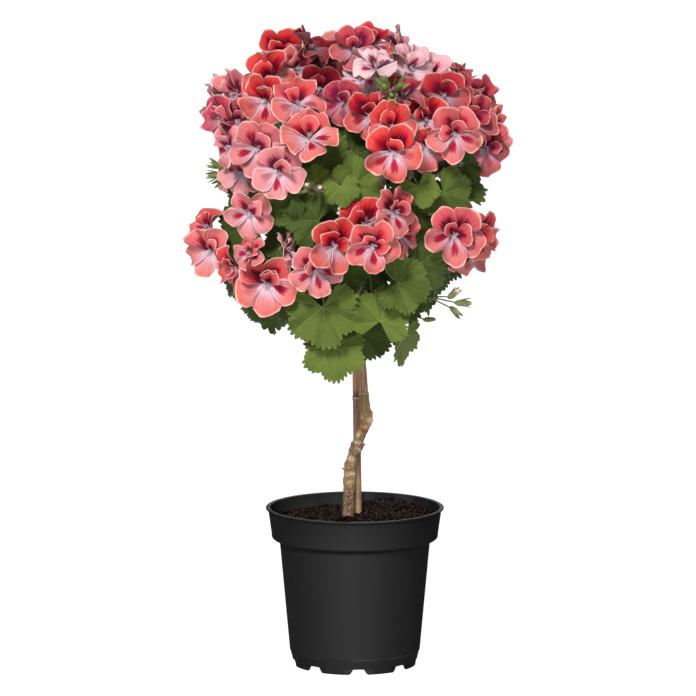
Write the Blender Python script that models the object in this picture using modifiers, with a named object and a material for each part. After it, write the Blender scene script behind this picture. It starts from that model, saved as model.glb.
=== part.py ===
"""Regal pelargonium grown as a small standard tree, in its nursery pot.

Lengths are metres and +Z is up. The origin is on the surface that the pot stands on, under
the pot's middle, and the plant shows its front to -Y. The crown is planned as it is seen from
the front: each bloom and leaf has a place across and up, and its depth comes from the crown's
rounded surface. Everything is then set clear of what already stands, in the order trunk and
cane, blooms, branches, leaves.
"""

import math
import random

import bmesh
import bpy
from mathutils import Matrix, Vector
from mathutils.bvhtree import BVHTree
from mathutils.geometry import interpolate_bezier

MM = 0.001
OBJECT_NAME = "regal_pelargonium"

# Pot
RIM_RADIUS = 95 * MM
POT_HEIGHT = 170 * MM
LIP_HEIGHT = 3.2 * MM
COLLAR_TOP_RADIUS = 92 * MM
COLLAR_FOOT_RADIUS = 88.7 * MM
COLLAR_FOOT_HEIGHT = 139 * MM
STEP_HEIGHT = 134 * MM
BODY_TOP_RADIUS = 80.2 * MM
BODY_FOOT_RADIUS = 69.5 * MM
BODY_FOOT_HEIGHT = 16.5 * MM
FOOT_RADIUS = 65.2 * MM
PLATE_HEIGHT = 6 * MM
WALL = 1.8 * MM
POT_STEPS = 24
POT_TURN = math.radians(3.5)
FEET = 8
NOTCH_TOP_WIDTH = 12 * MM
NOTCH_FOOT_WIDTH = 21 * MM
NOTCH_HEIGHT = 5.6 * MM
DIP_RADIUS = 14 * MM
DRAIN_RADIUS = 5 * MM
DRAIN_SIDES = 6
DRAIN_CIRCLE = 46 * MM

# Soil
SOIL_GAP = 0.4 * MM
SOIL_EDGE_HEIGHT = 156 * MM
SOIL_MOUND = 7 * MM

# Trunk and cane: across, depth, height and radius in millimetres, from the root up
TRUNK_PATH = (
    (-7.5, -5.5, 128, 6.0),
    (-7.5, -5.5, 163, 6.3),
    (-6.1, -5.5, 188, 6.5),
    (-4.9, -6.0, 212, 6.4),
    (0.8, -6.5, 233, 6.2),
    (3.4, -6.5, 238, 6.2),
    (4.8, -6.5, 244, 5.2),
    (10.6, -6.5, 257, 5.0),
    (12.1, -6.5, 264, 6.3),
    (12.1, -6.5, 269, 6.5),
    (11.1, -6.5, 276, 5.6),
    (9.9, -6.5, 289, 5.1),
    (9.8, -6.5, 291, 5.4),
    (9.4, -6.5, 293, 4.8),
    (8.4, -6.0, 308, 4.7),
    (7.0, -6.0, 325, 4.8),
    (4.0, -6.0, 350, 4.7),
    (0.0, -4.0, 378, 4.3),
    (-3.0, -2.0, 406, 3.9),
    (-4.0, 0.0, 432, 3.4),
    (-4.0, 0.0, 456, 2.4),
)
CANE_FOOT = Vector((5.0, 6.5, 40)) * MM
CANE_TOP = Vector((0.6, 6.5, 372)) * MM
CANE_RADIUS = 4.2 * MM
CANE_NODE_HEIGHTS = (95 * MM, 286.5 * MM)
CANE_NODE_RADIUS = 4.8 * MM
HOLE_GAP = 0.4 * MM

# Short dead twigs on the trunk: radii at both ends, then height (mm), direction and length (mm)
TWIG_RADII = (2.4 * MM, 1.0 * MM)
TWIGS = ((209, (-1, -0.3, 0.5), 3.5), (237, (1, -0.4, 0.2), 3), (266, (0.9, -0.4, -0.3), 2))

# Crown, and the sight line from the front, which falls away with depth
CROWN_CENTRE = Vector((-8, 0, 500)) * MM
CROWN_REACH = Vector((160, 150, 175)) * MM
CROWN_HEART = Vector((-4, 0, 425)) * MM
SIGHT_DROP = math.tan(math.radians(7.5))
SIGHT_LINE = Vector((0, -1, SIGHT_DROP)).normalized()

# Clearances between pieces
BUTT_GAP = 0.3 * MM
CLEARANCE = 1.1 * MM
SLEEVE_SIDES = 6
SEED = 7

# Blooms
BLOOM_RADIUS = 29 * MM
PETAL_THICKNESS = 0.8 * MM
PETAL_AXES = (53, 127, 202, 270, 338)
THROAT_RADIUS = 3.4 * MM
PEDICEL_RADIUS = 1.0 * MM
CALYX_RADIUS = 2.0 * MM
CALYX_LENGTH = 5 * MM
BLOOM_SHARES = (1, 0.94, 0.88, 0.82)
ROOT_OFFSET = 0.9 * MM
ELBOW_FROM = -0.1
ELBOW_REACH = 7 * MM
BUD_SIZE = 0.5
BUD_LENGTH = 17 * MM
HUB_DEPTH = 34 * MM
HUB_LENGTH = 6 * MM
HUB_RADIUS = 3.2 * MM

# Leaves
BLADE_THICKNESS = 0.8 * MM
LEAF_HALF_SPREAD = 140
LOBE_STEP = 28
FINE_LEAF = 49 * MM
PETIOLE_RADIUS = 1.05 * MM
PETIOLE_POINTS = 4
PETIOLE_SEAT = 0.1
PETIOLE_LEAST = 14 * MM
PETIOLE_MOST = 120 * MM
ROOTS_TRIED = 40

# Sizes and nods (degrees) that a leaf may take to find a clear place, the planned one first
LEAF_TRIES = ((1, 0), (1, 14), (1, -14), (0.9, 0), (0.9, 24), (0.9, -24), (0.8, 0), (0.8, 34), (0.7, 0))

# Branches
STUMP_LOW = 334 * MM
STUMP_HIGH = 450 * MM
STUMP_LEVELS = 14
STUMP_LENGTH = 9 * MM
STUMP_RADIUS = 2.9 * MM
BRANCH_RADIUS = 2.3 * MM
BRANCH_TIP_RADIUS = 1.6 * MM
BRANCH_POINTS = 4
STRAIGHT_END = 2 * MM
LEAST_FORWARD = 0.1
SHARP_ANGLE = math.radians(40)

# Blooms of the heads that show from the front. Each row gives across and up, how much nearer
# than the crown's surface (mm), the turn to the right and the tilt upwards (degrees), and the
# bloom's size against the usual one. A size of a half or less is an unopened bud.
HEADS = {
    "a": ((-78, 655, 0, -10, 10, 0.93), (-89, 629, 8, -15, 15, 0.97), (-50, 660, -12, 60, 40, 0.8),
          (-62, 640, -26, 20, 5, 0.8)),
    "b": ((-92, 604, 2, -25, 8, 0.93), (-125, 612, -6, -60, 15, 0.9), (-60, 600, 12, 5, 40, 0.93),
          (-48, 564, 20, 5, 52, 1.0), (-68, 557, -4, 40, -10, 0.83)),
    "c": ((-138, 588, 2, -55, 0, 0.9), (-143, 608, -12, -95, 20, 0.85), (-130, 556, -4, -60, 0, 0.8),
          (-120, 584, -16, -35, 0, 0.8)),
    "d": ((-101, 553, 6, -8, 10, 0.97), (-118, 530, -4, -20, -5, 0.93), (-80, 530, 22, 10, -5, 0.93)),
    "e": ((0, 659, 4, -5, 22, 0.83), (17, 664, -10, 12, 45, 0.8), (-34, 648, -34, -5, 0, 0.86),
          (-38, 618, -30, 5, 0, 0.86), (-13, 602, -14, -5, 10, 0.8)),
    "f": ((22, 638, 6, 20, 60, 0.93), (56, 638, -2, 40, 20, 0.97), (46, 660, -14, 60, 40, 0.83),
          (77, 629, 2, 30, 45, 0.97), (50, 608, -8, 0, 50, 0.8), (45, 618, 28, 30, 25, 0.5),
          (31, 618, 28, -20, 30, 0.5), (6, 627, -8, -15, 30, 0.74), (38, 610, 26, 0, -5, 0.42)),
    "g": ((39, 550, 20, 0, 0, 1.0), (38, 576, 2, 0, 30, 0.9), (16, 588, 4, -10, 15, 0.93),
          (72, 584, -4, 20, 15, 0.86), (75, 555, -10, 30, -10, 0.83)),
    "h": ((92, 609, 4, 10, 20, 0.9), (108, 611, -8, 20, 10, 0.93), (130, 606, -4, 45, 10, 0.9),
          (108, 631, -12, 70, 50, 0.8)),
    "i": ((103, 570, 10, 0, 0, 0.97), (122, 585, -4, 25, 8, 0.93), (136, 555, 4, 35, 5, 0.97),
          (146, 576, -10, 65, 8, 0.86)),
    "j": ((-109, 486, 0, -5, -5, 0.86),),
    "k": ((-151, 446, 2, -30, 0, 0.9), (-154, 471, -8, -50, 30, 0.74)),
    "l": ((-92, 413, 10, -5, -5, 1.07), (-74, 449, -2, 70, 15, 0.62), (-123, 428, 0, -60, -10, 0.83),
          (-108, 444, -10, -30, 20, 0.62)),
    "m": ((-41, 427, 6, 5, -5, 0.93), (-22, 452, 0, 15, 5, 0.97)),
    "n": ((18, 453, 18, 5, -5, 0.93), (9, 474, 0, -5, 10, 0.97), (40, 487, -6, 40, 15, 0.86),
          (45, 464, -8, 45, -5, 0.8)),
    "o": ((104, 464, 6, 0, 0, 1.04), (127, 463, -8, 50, 0, 0.9), (118, 441, -4, 30, -30, 0.76)),
    "p": ((103, 400, 10, 50, 35, 0.5), (113, 390, 6, 75, 0, 0.5), (106, 381, 2, 60, -35, 0.46)),
    "q": ((78, 373, 0, 75, 5, 0.4),),
    "s": ((-47, 515, 8, -30, 10, 0.42), (-38, 512, 8, 25, 15, 0.38), (-54, 509, 6, -70, 0, 0.36)),
    "t": ((-145, 536, 0, -80, 25, 0.45), (-147, 526, 0, -85, -5, 0.45), (-141, 519, 0, -60, -35, 0.42)),
}

# Heads at the back: how many, and their turns, tilts and rolls in degrees; the last looks up
BACK_HEADS = 5
BACK_TURNS = (140, 220)
BACK_TILTS = (8, 48)
BACK_ROLL = 40
TOP_HEAD = (175, 62)
BACK_BLOOMS = 3
BACK_SIZE = 0.95
BACK_LEAN = math.radians(34)
BACK_SPREAD = 23 * MM

# Leaves that show from the front. Each row gives across and up of the point where the stalk
# meets the blade, how much nearer than the crown's surface (mm), turn, tilt and roll (degrees,
# 0 hangs down and 90 points right), and the length from that point to the tip (mm).
LEAVES = (
    (-34, 387, -4, -8, -6, 8, 45),
    (-22, 344, 12, 0, 12, 0, 37),
    (26, 372, 12, 8, 8, 165, 36),
    (3, 360, -22, 8, -8, 8, 41),
    (54, 358, -8, 60, 0, 6, 34),
    (62, 429, -14, 22, -4, 66, 40),
    (44, 412, -4, 15, 18, 72, 36),
    (-14, 424, -22, 5, 0, 30, 28),
    (68, 484, -16, 12, 6, 50, 29),
    (92, 506, -14, 20, 5, 50, 34),
    (98, 524, -16, 25, 62, 84, 46),
    (114, 538, -14, 40, 30, 85, 24),
    (66, 514, -12, 0, 10, 20, 24),
    (-1, 515, -12, 8, 8, 125, 32),
    (-35, 536, -10, 0, 14, 150, 40),
    (-40, 519, 0, -5, 20, 180, 18),
    (-15, 514, -6, 5, 20, 10, 22),
    (-76, 503, -12, -20, 10, -60, 32),
    (-118, 470, -16, -40, 5, -120, 38),
    (-38, 478, -36, -5, 10, -90, 38),
    (-66, 458, -22, -10, 28, -60, 30),
    (-124, 413, -2, -40, 0, -45, 20),
    (-99, 390, 0, -15, 5, -25, 22),
    (-58, 400, -26, -12, -12, -32, 38),
    (-10, 480, -40, 0, 5, 20, 40),
    (-30, 455, -44, -10, 0, -20, 40),
    (40, 402, -44, 10, -5, -10, 40),
    (78, 488, -44, 20, 5, 60, 40),
    (-112, 500, -30, -30, 5, -70, 34),
    (-62, 508, -34, -15, 10, -100, 28),
    (0, 548, -50, 0, 10, 160, 36),
    (0, 575, -50, 0, 0, 180, 34),
    (84, 420, -44, 40, -10, 30, 40),
    (58, 520, -46, 10, 0, 10, 34),
    (62, 490, -44, 20, 5, 0, 26),
    (-96, 456, -44, -20, 0, -10, 30),
    (-54, 418, -44, -10, 0, 10, 26),
    (46, 436, -46, 10, 0, 10, 28),
    (48, 390, -18, 20, 10, 0, 20),
)
BACK_LEAVES = 16

# Low shoots that bear only leaves: direction (degrees round the trunk), reach and height (mm)
LOW_SHOOTS = ((-115, 50, 385), (-60, 52, 378), (75, 50, 385))


def remove_everything():
    """Start from an empty scene."""
    for item in list(bpy.data.objects):
        bpy.data.objects.remove(item, do_unlink=True)


def new_collection(name):
    group = bpy.data.collections.new(name)
    bpy.context.scene.collection.children.link(group)
    return group


def new_material(name, colour, roughness):
    material = bpy.data.materials.new(name)
    material.use_nodes = True
    shader = material.node_tree.nodes["Principled BSDF"]
    shader.inputs["Base Color"].default_value = (*colour, 1)
    shader.inputs["Roughness"].default_value = roughness
    material.diffuse_color = (*colour, 1)
    return material


def make_materials():
    return {
        "pot": new_material("black_plastic", (0.020, 0.020, 0.020), 0.45),
        "soil": new_material("peat", (0.035, 0.014, 0.010), 0.95),
        "bark": new_material("bark", (0.42, 0.27, 0.13), 0.85),
        "cane": new_material("bamboo", (0.45, 0.25, 0.14), 0.6),
        "green": new_material("leaf_green", (0.09, 0.19, 0.04), 0.6),
        "petal": new_material("petal", (0.84, 0.18, 0.16), 0.55),
    }


def mesh_object(name, points, faces, group):
    mesh = bpy.data.meshes.new(name)
    mesh.from_pydata([tuple(point) for point in points], [], faces)
    made = bpy.data.objects.new(name, mesh)
    group.objects.link(made)
    return made


def evaluated_mesh(item):
    """The item's mesh with its modifiers worked in."""
    graph = bpy.context.evaluated_depsgraph_get()
    return bpy.data.meshes.new_from_object(item.evaluated_get(graph), depsgraph=graph)


def section(sides, group):
    """A regular outline of one millimetre in radius, which a stem's curve takes as its section."""
    curve = bpy.data.curves.new(f"section_{sides}", "CURVE")
    spline = curve.splines.new("POLY")
    spline.points.add(sides - 1)
    for step, at in enumerate(spline.points):
        angle = math.tau * step / sides
        at.co = (MM * math.cos(angle), MM * math.sin(angle), 0, 1)
    spline.use_cyclic_u = True
    made = bpy.data.objects.new(f"section_{sides}", curve)
    made.hide_render = True
    made.display_type = "WIRE"
    group.objects.link(made)
    return made


def tube(name, points, radii, outline, group):
    """A stem along the points, as a closed mesh whose radius follows the list."""
    curve = bpy.data.curves.new(name, "CURVE")
    curve.dimensions = "3D"
    curve.bevel_mode = "OBJECT"
    curve.bevel_object = outline
    curve.use_fill_caps = True
    spline = curve.splines.new("POLY")
    spline.points.add(len(points) - 1)
    for at, point, radius in zip(spline.points, points, radii):
        at.co = (*point, 1)
        at.radius = radius / MM
    drawn = bpy.data.objects.new(name, curve)
    group.objects.link(drawn)
    mesh = evaluated_mesh(drawn)
    bpy.data.objects.remove(drawn)
    bpy.data.curves.remove(curve)
    tidy = bmesh.new()
    tidy.from_mesh(mesh)
    bmesh.ops.remove_doubles(tidy, verts=tidy.verts, dist=1e-6)
    bmesh.ops.recalc_face_normals(tidy, faces=tidy.faces)
    tidy.to_mesh(mesh)
    tidy.free()
    made = bpy.data.objects.new(name, mesh)
    group.objects.link(made)
    return made


def keep_main_body(mesh):
    """Drop loose scraps and the walls of sealed hollows; return how many bodies there were."""
    body = bmesh.new()
    body.from_mesh(mesh)
    bmesh.ops.remove_doubles(body, verts=body.verts, dist=2e-6)
    bmesh.ops.dissolve_degenerate(body, edges=body.edges, dist=2e-6)
    unseen = set(body.faces)
    shells = []
    while unseen:
        reached = [unseen.pop()]
        for face in reached:
            for edge in face.edges:
                for other in edge.link_faces:
                    if other in unseen:
                        unseen.remove(other)
                        reached.append(other)
        shells.append(reached)
    shells.sort(key=len)
    for scrap in shells[:-1]:
        bmesh.ops.delete(body, geom=scrap, context="FACES")
    body.to_mesh(mesh)
    body.free()
    return len(shells)


def fuse(base, pieces, group):
    """Join the pieces into the base as one body, and take their objects away."""
    union = base.modifiers.new("union", "BOOLEAN")
    union.operation = "UNION"
    union.operand_type = "COLLECTION"
    together = bpy.data.collections.new(f"{base.name}_pieces")
    group.children.link(together)
    for piece in pieces:
        group.objects.unlink(piece)
        together.objects.link(piece)
    union.collection = together
    for solver in ("EXACT", "MANIFOLD"):
        union.solver = solver
        mesh = evaluated_mesh(base)
        if keep_main_body(mesh) == 1:
            break
    base.modifiers.remove(union)
    for piece in pieces:
        bpy.data.objects.remove(piece)
    bpy.data.collections.remove(together)
    base.data = mesh
    return base


def turned(name, profile, steps, group):
    """A turned shape from a closed outline of radius and height."""
    count = len(profile)
    mesh = bpy.data.meshes.new(name)
    edges = [(at, at + 1) for at in range(count - 1)]
    mesh.from_pydata([(radius, 0, height) for radius, height in profile], edges, [])
    made = bpy.data.objects.new(name, mesh)
    group.objects.link(made)
    screw = made.modifiers.new("turn", "SCREW")
    screw.steps = steps
    screw.render_steps = steps
    screw.use_merge_vertices = True
    screw.merge_threshold = 1e-5
    return made


def cutter_of(made):
    """Hide a shape that only cuts others."""
    made.hide_render = True
    made.display_type = "WIRE"
    return made


def cut(item, cutters):
    """Take all shapes of the cutters' collection away from the item."""
    taken = item.modifiers.new("cuts", "BOOLEAN")
    taken.operation = "DIFFERENCE"
    taken.operand_type = "COLLECTION"
    taken.collection = cutters
    return item


def pot_outer():
    """The pot's outside from the lip down, as radius and height."""
    return [
        (RIM_RADIUS - 1.2 * MM, POT_HEIGHT),
        (RIM_RADIUS, POT_HEIGHT - 1.2 * MM),
        (RIM_RADIUS, POT_HEIGHT - LIP_HEIGHT),
        (COLLAR_TOP_RADIUS, POT_HEIGHT - LIP_HEIGHT - 0.8 * MM),
        (COLLAR_FOOT_RADIUS, COLLAR_FOOT_HEIGHT),
        (COLLAR_FOOT_RADIUS - 2.5 * MM, STEP_HEIGHT + 1.5 * MM),
        (BODY_TOP_RADIUS, STEP_HEIGHT),
        (BODY_FOOT_RADIUS, BODY_FOOT_HEIGHT),
        (FOOT_RADIUS, 0),
    ]


def pot_floor():
    """The top of the base plate with its dip, from the middle out, as radius and height."""
    return [
        (0, WALL),
        (DIP_RADIUS - WALL, WALL),
        (DIP_RADIUS + 2 * MM - WALL, PLATE_HEIGHT + WALL),
    ]


def pot_inner():
    """The pot's inside from the floor up, as radius and height."""
    return [
        (FOOT_RADIUS + 1.0 * MM - WALL, PLATE_HEIGHT + WALL),
        (BODY_FOOT_RADIUS - WALL, BODY_FOOT_HEIGHT),
        (BODY_TOP_RADIUS - WALL, STEP_HEIGHT + WALL),
        (COLLAR_FOOT_RADIUS - 2.5 * MM - WALL, STEP_HEIGHT + 1.5 * MM + WALL),
        (COLLAR_FOOT_RADIUS - WALL, COLLAR_FOOT_HEIGHT + WALL),
        (COLLAR_TOP_RADIUS - WALL, POT_HEIGHT - LIP_HEIGHT),
    ]


def make_pot(group, cutters, material):
    """The pot: lip, collar, body and base plate, with notched feet and drain holes cut out."""
    under_foot = [
        (FOOT_RADIUS - WALL, 0),
        (FOOT_RADIUS - WALL, PLATE_HEIGHT),
        (DIP_RADIUS + 2 * MM, PLATE_HEIGHT),
        (DIP_RADIUS, 0),
        (0, 0),
    ]
    outer = pot_outer()
    profile = outer + under_foot + pot_floor() + pot_inner() + [outer[0]]
    pot = turned("pot", profile, POT_STEPS, group)
    pot.data.materials.append(material)
    for foot in range(FEET):
        angle = POT_TURN - math.pi / 2 + math.tau * foot / FEET
        notch = foot_notch(foot, cutters)
        notch.matrix_world = Matrix.Rotation(angle, 4, "Z")
        aside = Matrix.Rotation(angle + math.pi / FEET, 4, "Z")
        bpy.ops.mesh.primitive_cylinder_add(
            vertices=DRAIN_SIDES,
            radius=DRAIN_RADIUS,
            depth=PLATE_HEIGHT,
            location=aside @ Vector((DRAIN_CIRCLE, 0, PLATE_HEIGHT)),
        )
        hole = bpy.context.object
        hole.name = f"drain_{foot}"
        for home in hole.users_collection:
            home.objects.unlink(hole)
        cutters.objects.link(cutter_of(hole))
    return cut(pot, cutters)


def foot_notch(number, cutters):
    """A slot through the foot ring with sloping sides, wider at the bottom."""
    half_top = NOTCH_TOP_WIDTH / 2
    half_foot = NOTCH_FOOT_WIDTH / 2
    outline = ((-half_foot, -MM), (half_foot, -MM), (half_top, NOTCH_HEIGHT), (-half_top, NOTCH_HEIGHT))
    near = FOOT_RADIUS - 8 * MM
    far = FOOT_RADIUS + 8 * MM
    points = [(near, y, z) for y, z in outline] + [(far, y, z) for y, z in outline]
    faces = [(3, 2, 1, 0), (4, 5, 6, 7)]
    faces += [(side, (side + 1) % 4, (side + 1) % 4 + 4, side + 4) for side in range(4)]
    return cutter_of(mesh_object(f"notch_{number}", points, faces, cutters))


def make_soil(group, cutters, outline, material):
    """The plug of potting soil, mounded in the middle, with holes for the trunk and the cane."""
    inner = pot_inner()
    floor_radius, floor_height = inner[0]
    edge_radius = inner[4][0] + (inner[5][0] - inner[4][0]) * (
        (SOIL_EDGE_HEIGHT - inner[4][1]) / (inner[5][1] - inner[4][1])
    )
    sides = [(edge_radius - SOIL_GAP, SOIL_EDGE_HEIGHT)]
    sides += [(radius - SOIL_GAP, height + SOIL_GAP * 0.5) for radius, height in reversed(inner[1:5])]
    top = [(edge_radius * part, SOIL_EDGE_HEIGHT + SOIL_MOUND * rise)
           for part, rise in ((0, 1), (0.4, 0.95), (0.8, 0.5))]
    bottom = [(floor_radius - SOIL_GAP, floor_height + SOIL_GAP)]
    floor = reversed(pot_floor())
    bottom += [(max(0, radius - SOIL_GAP), height + SOIL_GAP) for radius, height in floor]
    soil = turned("soil", top + sides + bottom, POT_STEPS, group)
    soil.data.materials.append(material)
    trunk_points, trunk_radii = trunk_route()
    above = Vector((0, 0, 30 * MM))
    foot_points = [trunk_points[0], trunk_points[1], trunk_points[1] + above]
    foot_points[0] = foot_points[0] - Vector((0, 0, BUTT_GAP))
    wide = [trunk_radii[1] + HOLE_GAP] * 3
    cutter_of(tube("trunk_hole", foot_points, wide, outline, cutters))
    cane_way = (CANE_TOP - CANE_FOOT).normalized()
    cane_hole = [CANE_FOOT - cane_way * BUTT_GAP, CANE_FOOT + cane_way * (POT_HEIGHT + 20 * MM)]
    cutter_of(tube("cane_hole", cane_hole, [CANE_NODE_RADIUS + HOLE_GAP] * 2, outline, cutters))
    return cut(soil, cutters)


def trunk_route():
    """Points and radii of the trunk, from the root up."""
    points = [Vector((across, depth, height)) * MM for across, depth, height, radius in TRUNK_PATH]
    radii = [radius * MM for across, depth, height, radius in TRUNK_PATH]
    return points, radii


def trunk_point(height):
    """The trunk's middle and radius at a height."""
    points, radii = trunk_route()
    for low, high, low_radius, high_radius in zip(points, points[1:], radii, radii[1:]):
        if low.z <= height <= high.z:
            part = (height - low.z) / (high.z - low.z)
            return low.lerp(high, part), low_radius + (high_radius - low_radius) * part
    return points[-1], radii[-1]


def cane_route():
    """Points and radii of the cane, with a ring at each node."""
    length = CANE_TOP.z - CANE_FOOT.z
    points = [CANE_FOOT]
    radii = [CANE_RADIUS]
    for height in CANE_NODE_HEIGHTS:
        for rise, radius in ((-1.6 * MM, CANE_RADIUS), (0, CANE_NODE_RADIUS), (1.6 * MM, CANE_RADIUS)):
            points.append(CANE_FOOT.lerp(CANE_TOP, (height + rise - CANE_FOOT.z) / length))
            radii.append(radius)
    points.append(CANE_TOP)
    radii.append(CANE_RADIUS * 0.95)
    return points, radii


def facing(turn, tilt, roll=0):
    """Axes of something that faces the front, turned right, tilted up and rolled, in degrees."""
    turn = math.radians(turn)
    tilt = math.radians(tilt)
    out = Vector((math.sin(turn) * math.cos(tilt), -math.cos(turn) * math.cos(tilt), math.sin(tilt)))
    return axes_about(out, roll)


def axes_about(out, roll=0):
    """Axes with Z along out, Y as far up as it can be, then rolled in degrees."""
    side = Vector((0, 0, 1)).cross(out)
    if side.length < 1e-3:
        side = Vector((1, 0, 0))
    side.normalize()
    up = out.cross(side)
    axes = Matrix((side, up, out)).transposed()
    return axes @ Matrix.Rotation(math.radians(roll), 3, "Z")


def on_crown(across, up, nearer):
    """The place on the crown's surface behind a point of the front view."""
    reach = CROWN_REACH
    off = across - CROWN_CENTRE.x
    rise = up - CROWN_CENTRE.z
    square = 1 / reach.y ** 2 + SIGHT_DROP ** 2 / reach.z ** 2
    linear = -2 * SIGHT_DROP * rise / reach.z ** 2
    constant = (off / reach.x) ** 2 + (rise / reach.z) ** 2 - 1
    under_root = max(0, linear ** 2 - 4 * square * constant)
    depth = (-linear - math.sqrt(under_root)) / (2 * square)
    return Vector((across, depth, up - SIGHT_DROP * depth)) + SIGHT_LINE * nearer


def bloom_sheet(size):
    """Points and triangles of five petals round a throat, facing +Z, with no thickness."""
    radius = BLOOM_RADIUS * size
    points = []
    triangles = [(0, 1, 2), (0, 2, 3), (0, 3, 4)]
    count = len(PETAL_AXES)
    for petal, angle in enumerate(PETAL_AXES):
        before = PETAL_AXES[petal - 1] - (360 if petal == 0 else 0)
        between = math.radians((angle + before) / 2)
        points.append(Vector((math.cos(between), math.sin(between), 0)) * THROAT_RADIUS)
    for petal, angle in enumerate(PETAL_AXES):
        upper = angle < 180
        shoulder = 0.42 if upper else 0.32
        tip = 0.3 if upper else 0.2
        length = radius if upper else radius * 1.06
        way = Matrix.Rotation(math.radians(angle), 3, "Z")
        first = len(points)
        outline = ((0.62, -shoulder, 0.19), (1, -tip, 0.29), (1, tip, 0.22), (0.62, shoulder, 0.24))
        for along, aside, lift in outline:
            points.append(way @ Vector((along * length, aside * length, lift * length)))
        left = petal
        right = (petal + 1) % count
        triangles += [(left, first, right), (first, first + 3, right)]
        triangles += [(first, first + 1, first + 3), (first + 1, first + 2, first + 3)]
    return points, triangles


def leaf_sheet(length):
    """Points and triangles of a lobed, pleated leaf blade with its tip towards -Y."""
    step = LOBE_STEP // 2 if length > FINE_LEAF else LOBE_STEP
    points = [Vector((0, 0, 0))]
    for degrees in range(-LEAF_HALF_SPREAD, LEAF_HALF_SPREAD + 1, step):
        angle = math.radians(degrees)
        lobe = math.cos(math.tau * degrees / (2 * LOBE_STEP))
        tooth = 0.04 if (degrees // step) % 2 else -0.02
        reach = length * (0.62 + 0.38 * math.cos(angle / 2)) * (0.9 + 0.1 * lobe - tooth)
        cup = 0.16 * math.sin(angle) ** 2 - 0.12 * math.cos(angle) ** 2
        rise = length * (cup - 0.05 * lobe)
        points.append(Vector((reach * math.sin(angle), -reach * math.cos(angle), rise)))
    triangles = [(0, at, at + 1) for at in range(1, len(points) - 1)]
    return points, triangles


def sheet_normals(points, triangles):
    """The normal at each point of a sheet."""
    normals = [Vector() for point in points]
    for a, b, c in triangles:
        normal = (points[b] - points[a]).cross(points[c] - points[a])
        for corner in (a, b, c):
            normals[corner] += normal
    return [normal.normalized() for normal in normals]


def sheet_test(points, triangles, thickness):
    """The two faces of a blade, each pushed out by the clearance, for testing what it touches."""
    off = thickness / 2 + CLEARANCE
    normals = sheet_normals(points, triangles)
    grown = [point + (point - points[0]) * 0.03 for point in points]
    both = [point + normal * off for point, normal in zip(grown, normals)]
    both += [point - normal * off for point, normal in zip(grown, normals)]
    count = len(points)
    return both, triangles + [(a + count, b + count, c + count) for a, b, c in triangles]


def sleeve_test(path, radius):
    """A six-sided sleeve round a path, wider by the clearance, for testing what it touches."""
    reach = (radius + CLEARANCE * 0.6) / math.cos(math.pi / SLEEVE_SIDES)
    side = (path[1] - path[0]).orthogonal().normalized()
    points = []
    faces = []
    for at, middle in enumerate(path):
        way = (path[min(at + 1, len(path) - 1)] - path[max(at - 1, 0)]).normalized()
        side = (side - way * side.dot(way)).normalized()
        other = way.cross(side)
        for step in range(SLEEVE_SIDES):
            angle = math.tau * step / SLEEVE_SIDES
            points.append(middle + (side * math.cos(angle) + other * math.sin(angle)) * reach)
        if at:
            first = SLEEVE_SIDES * (at - 1)
            for step in range(SLEEVE_SIDES):
                beside = (step + 1) % SLEEVE_SIDES
                low = (first + step, first + beside)
                high = (first + SLEEVE_SIDES + beside, first + SLEEVE_SIDES + step)
                faces.append(low + high)
    return points, faces


def joined_tree(tests):
    """One search tree over several test surfaces."""
    points = []
    faces = []
    for some_points, some_faces in tests:
        first = len(points)
        points += some_points
        faces += [tuple(corner + first for corner in face) for face in some_faces]
    return BVHTree.FromPolygons(points, faces)


class Standing:
    """Search trees over everything that already has its place, by owner."""

    def __init__(self):
        self.trees = []

    def add(self, owner, tree):
        self.trees.append((owner, tree))

    def is_clear(self, tree, *own):
        return not any(owner not in own and tree.overlap(other) for owner, other in self.trees)


def placed(points, axes, origin):
    """The points, turned to the axes and moved to the origin."""
    return [origin + axes @ point for point in points]


def bend(start, start_way, end, end_way, count, pull=0.36):
    """Points of a smooth bend that leaves and arrives in the given directions."""
    reach = (end - start).length * pull
    return interpolate_bezier(start, start + start_way * reach, end - end_way * reach, end, count)


def depth_tries():
    """Offsets along the sight line, nearest first."""
    yield 0
    for step in range(1, 13):
        yield 3 * MM * step
        yield -3 * MM * step


def corolla_test(bloom):
    """The bloom's petals, or the bud's body, for testing what they touch."""
    if bloom["bud"]:
        ends = [bloom["at"] + bloom["axes"].col[2] * BUD_LENGTH * bloom["size"] * way for way in (-1, 1)]
        return sleeve_test(ends, BUD_LENGTH * bloom["size"] * 0.45)
    points, triangles = bloom_sheet(bloom["size"])
    return sheet_test(placed(points, bloom["axes"], bloom["at"]), triangles, PETAL_THICKNESS)


def pedicel_path(bloom, hub):
    """A bloom's stalk from the hub to the throat, with an elbow where the bloom looks back."""
    out = bloom["axes"].col[2]
    neck = bloom["at"] - out * CALYX_LENGTH
    back = (hub - neck).normalized()
    root = hub - back * ROOT_OFFSET
    if back.dot(out) < ELBOW_FROM:
        return [root, neck, bloom["at"]]
    return [root, neck + (back - out).normalized() * ELBOW_REACH, neck, bloom["at"]]


def bloom_tests(bloom, hub):
    """Search trees over the bloom and over its stalk."""
    stalk = sleeve_test(pedicel_path(bloom, hub)[:-1], PEDICEL_RADIUS)
    return joined_tree((corolla_test(bloom),)), joined_tree((stalk,))


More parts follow.
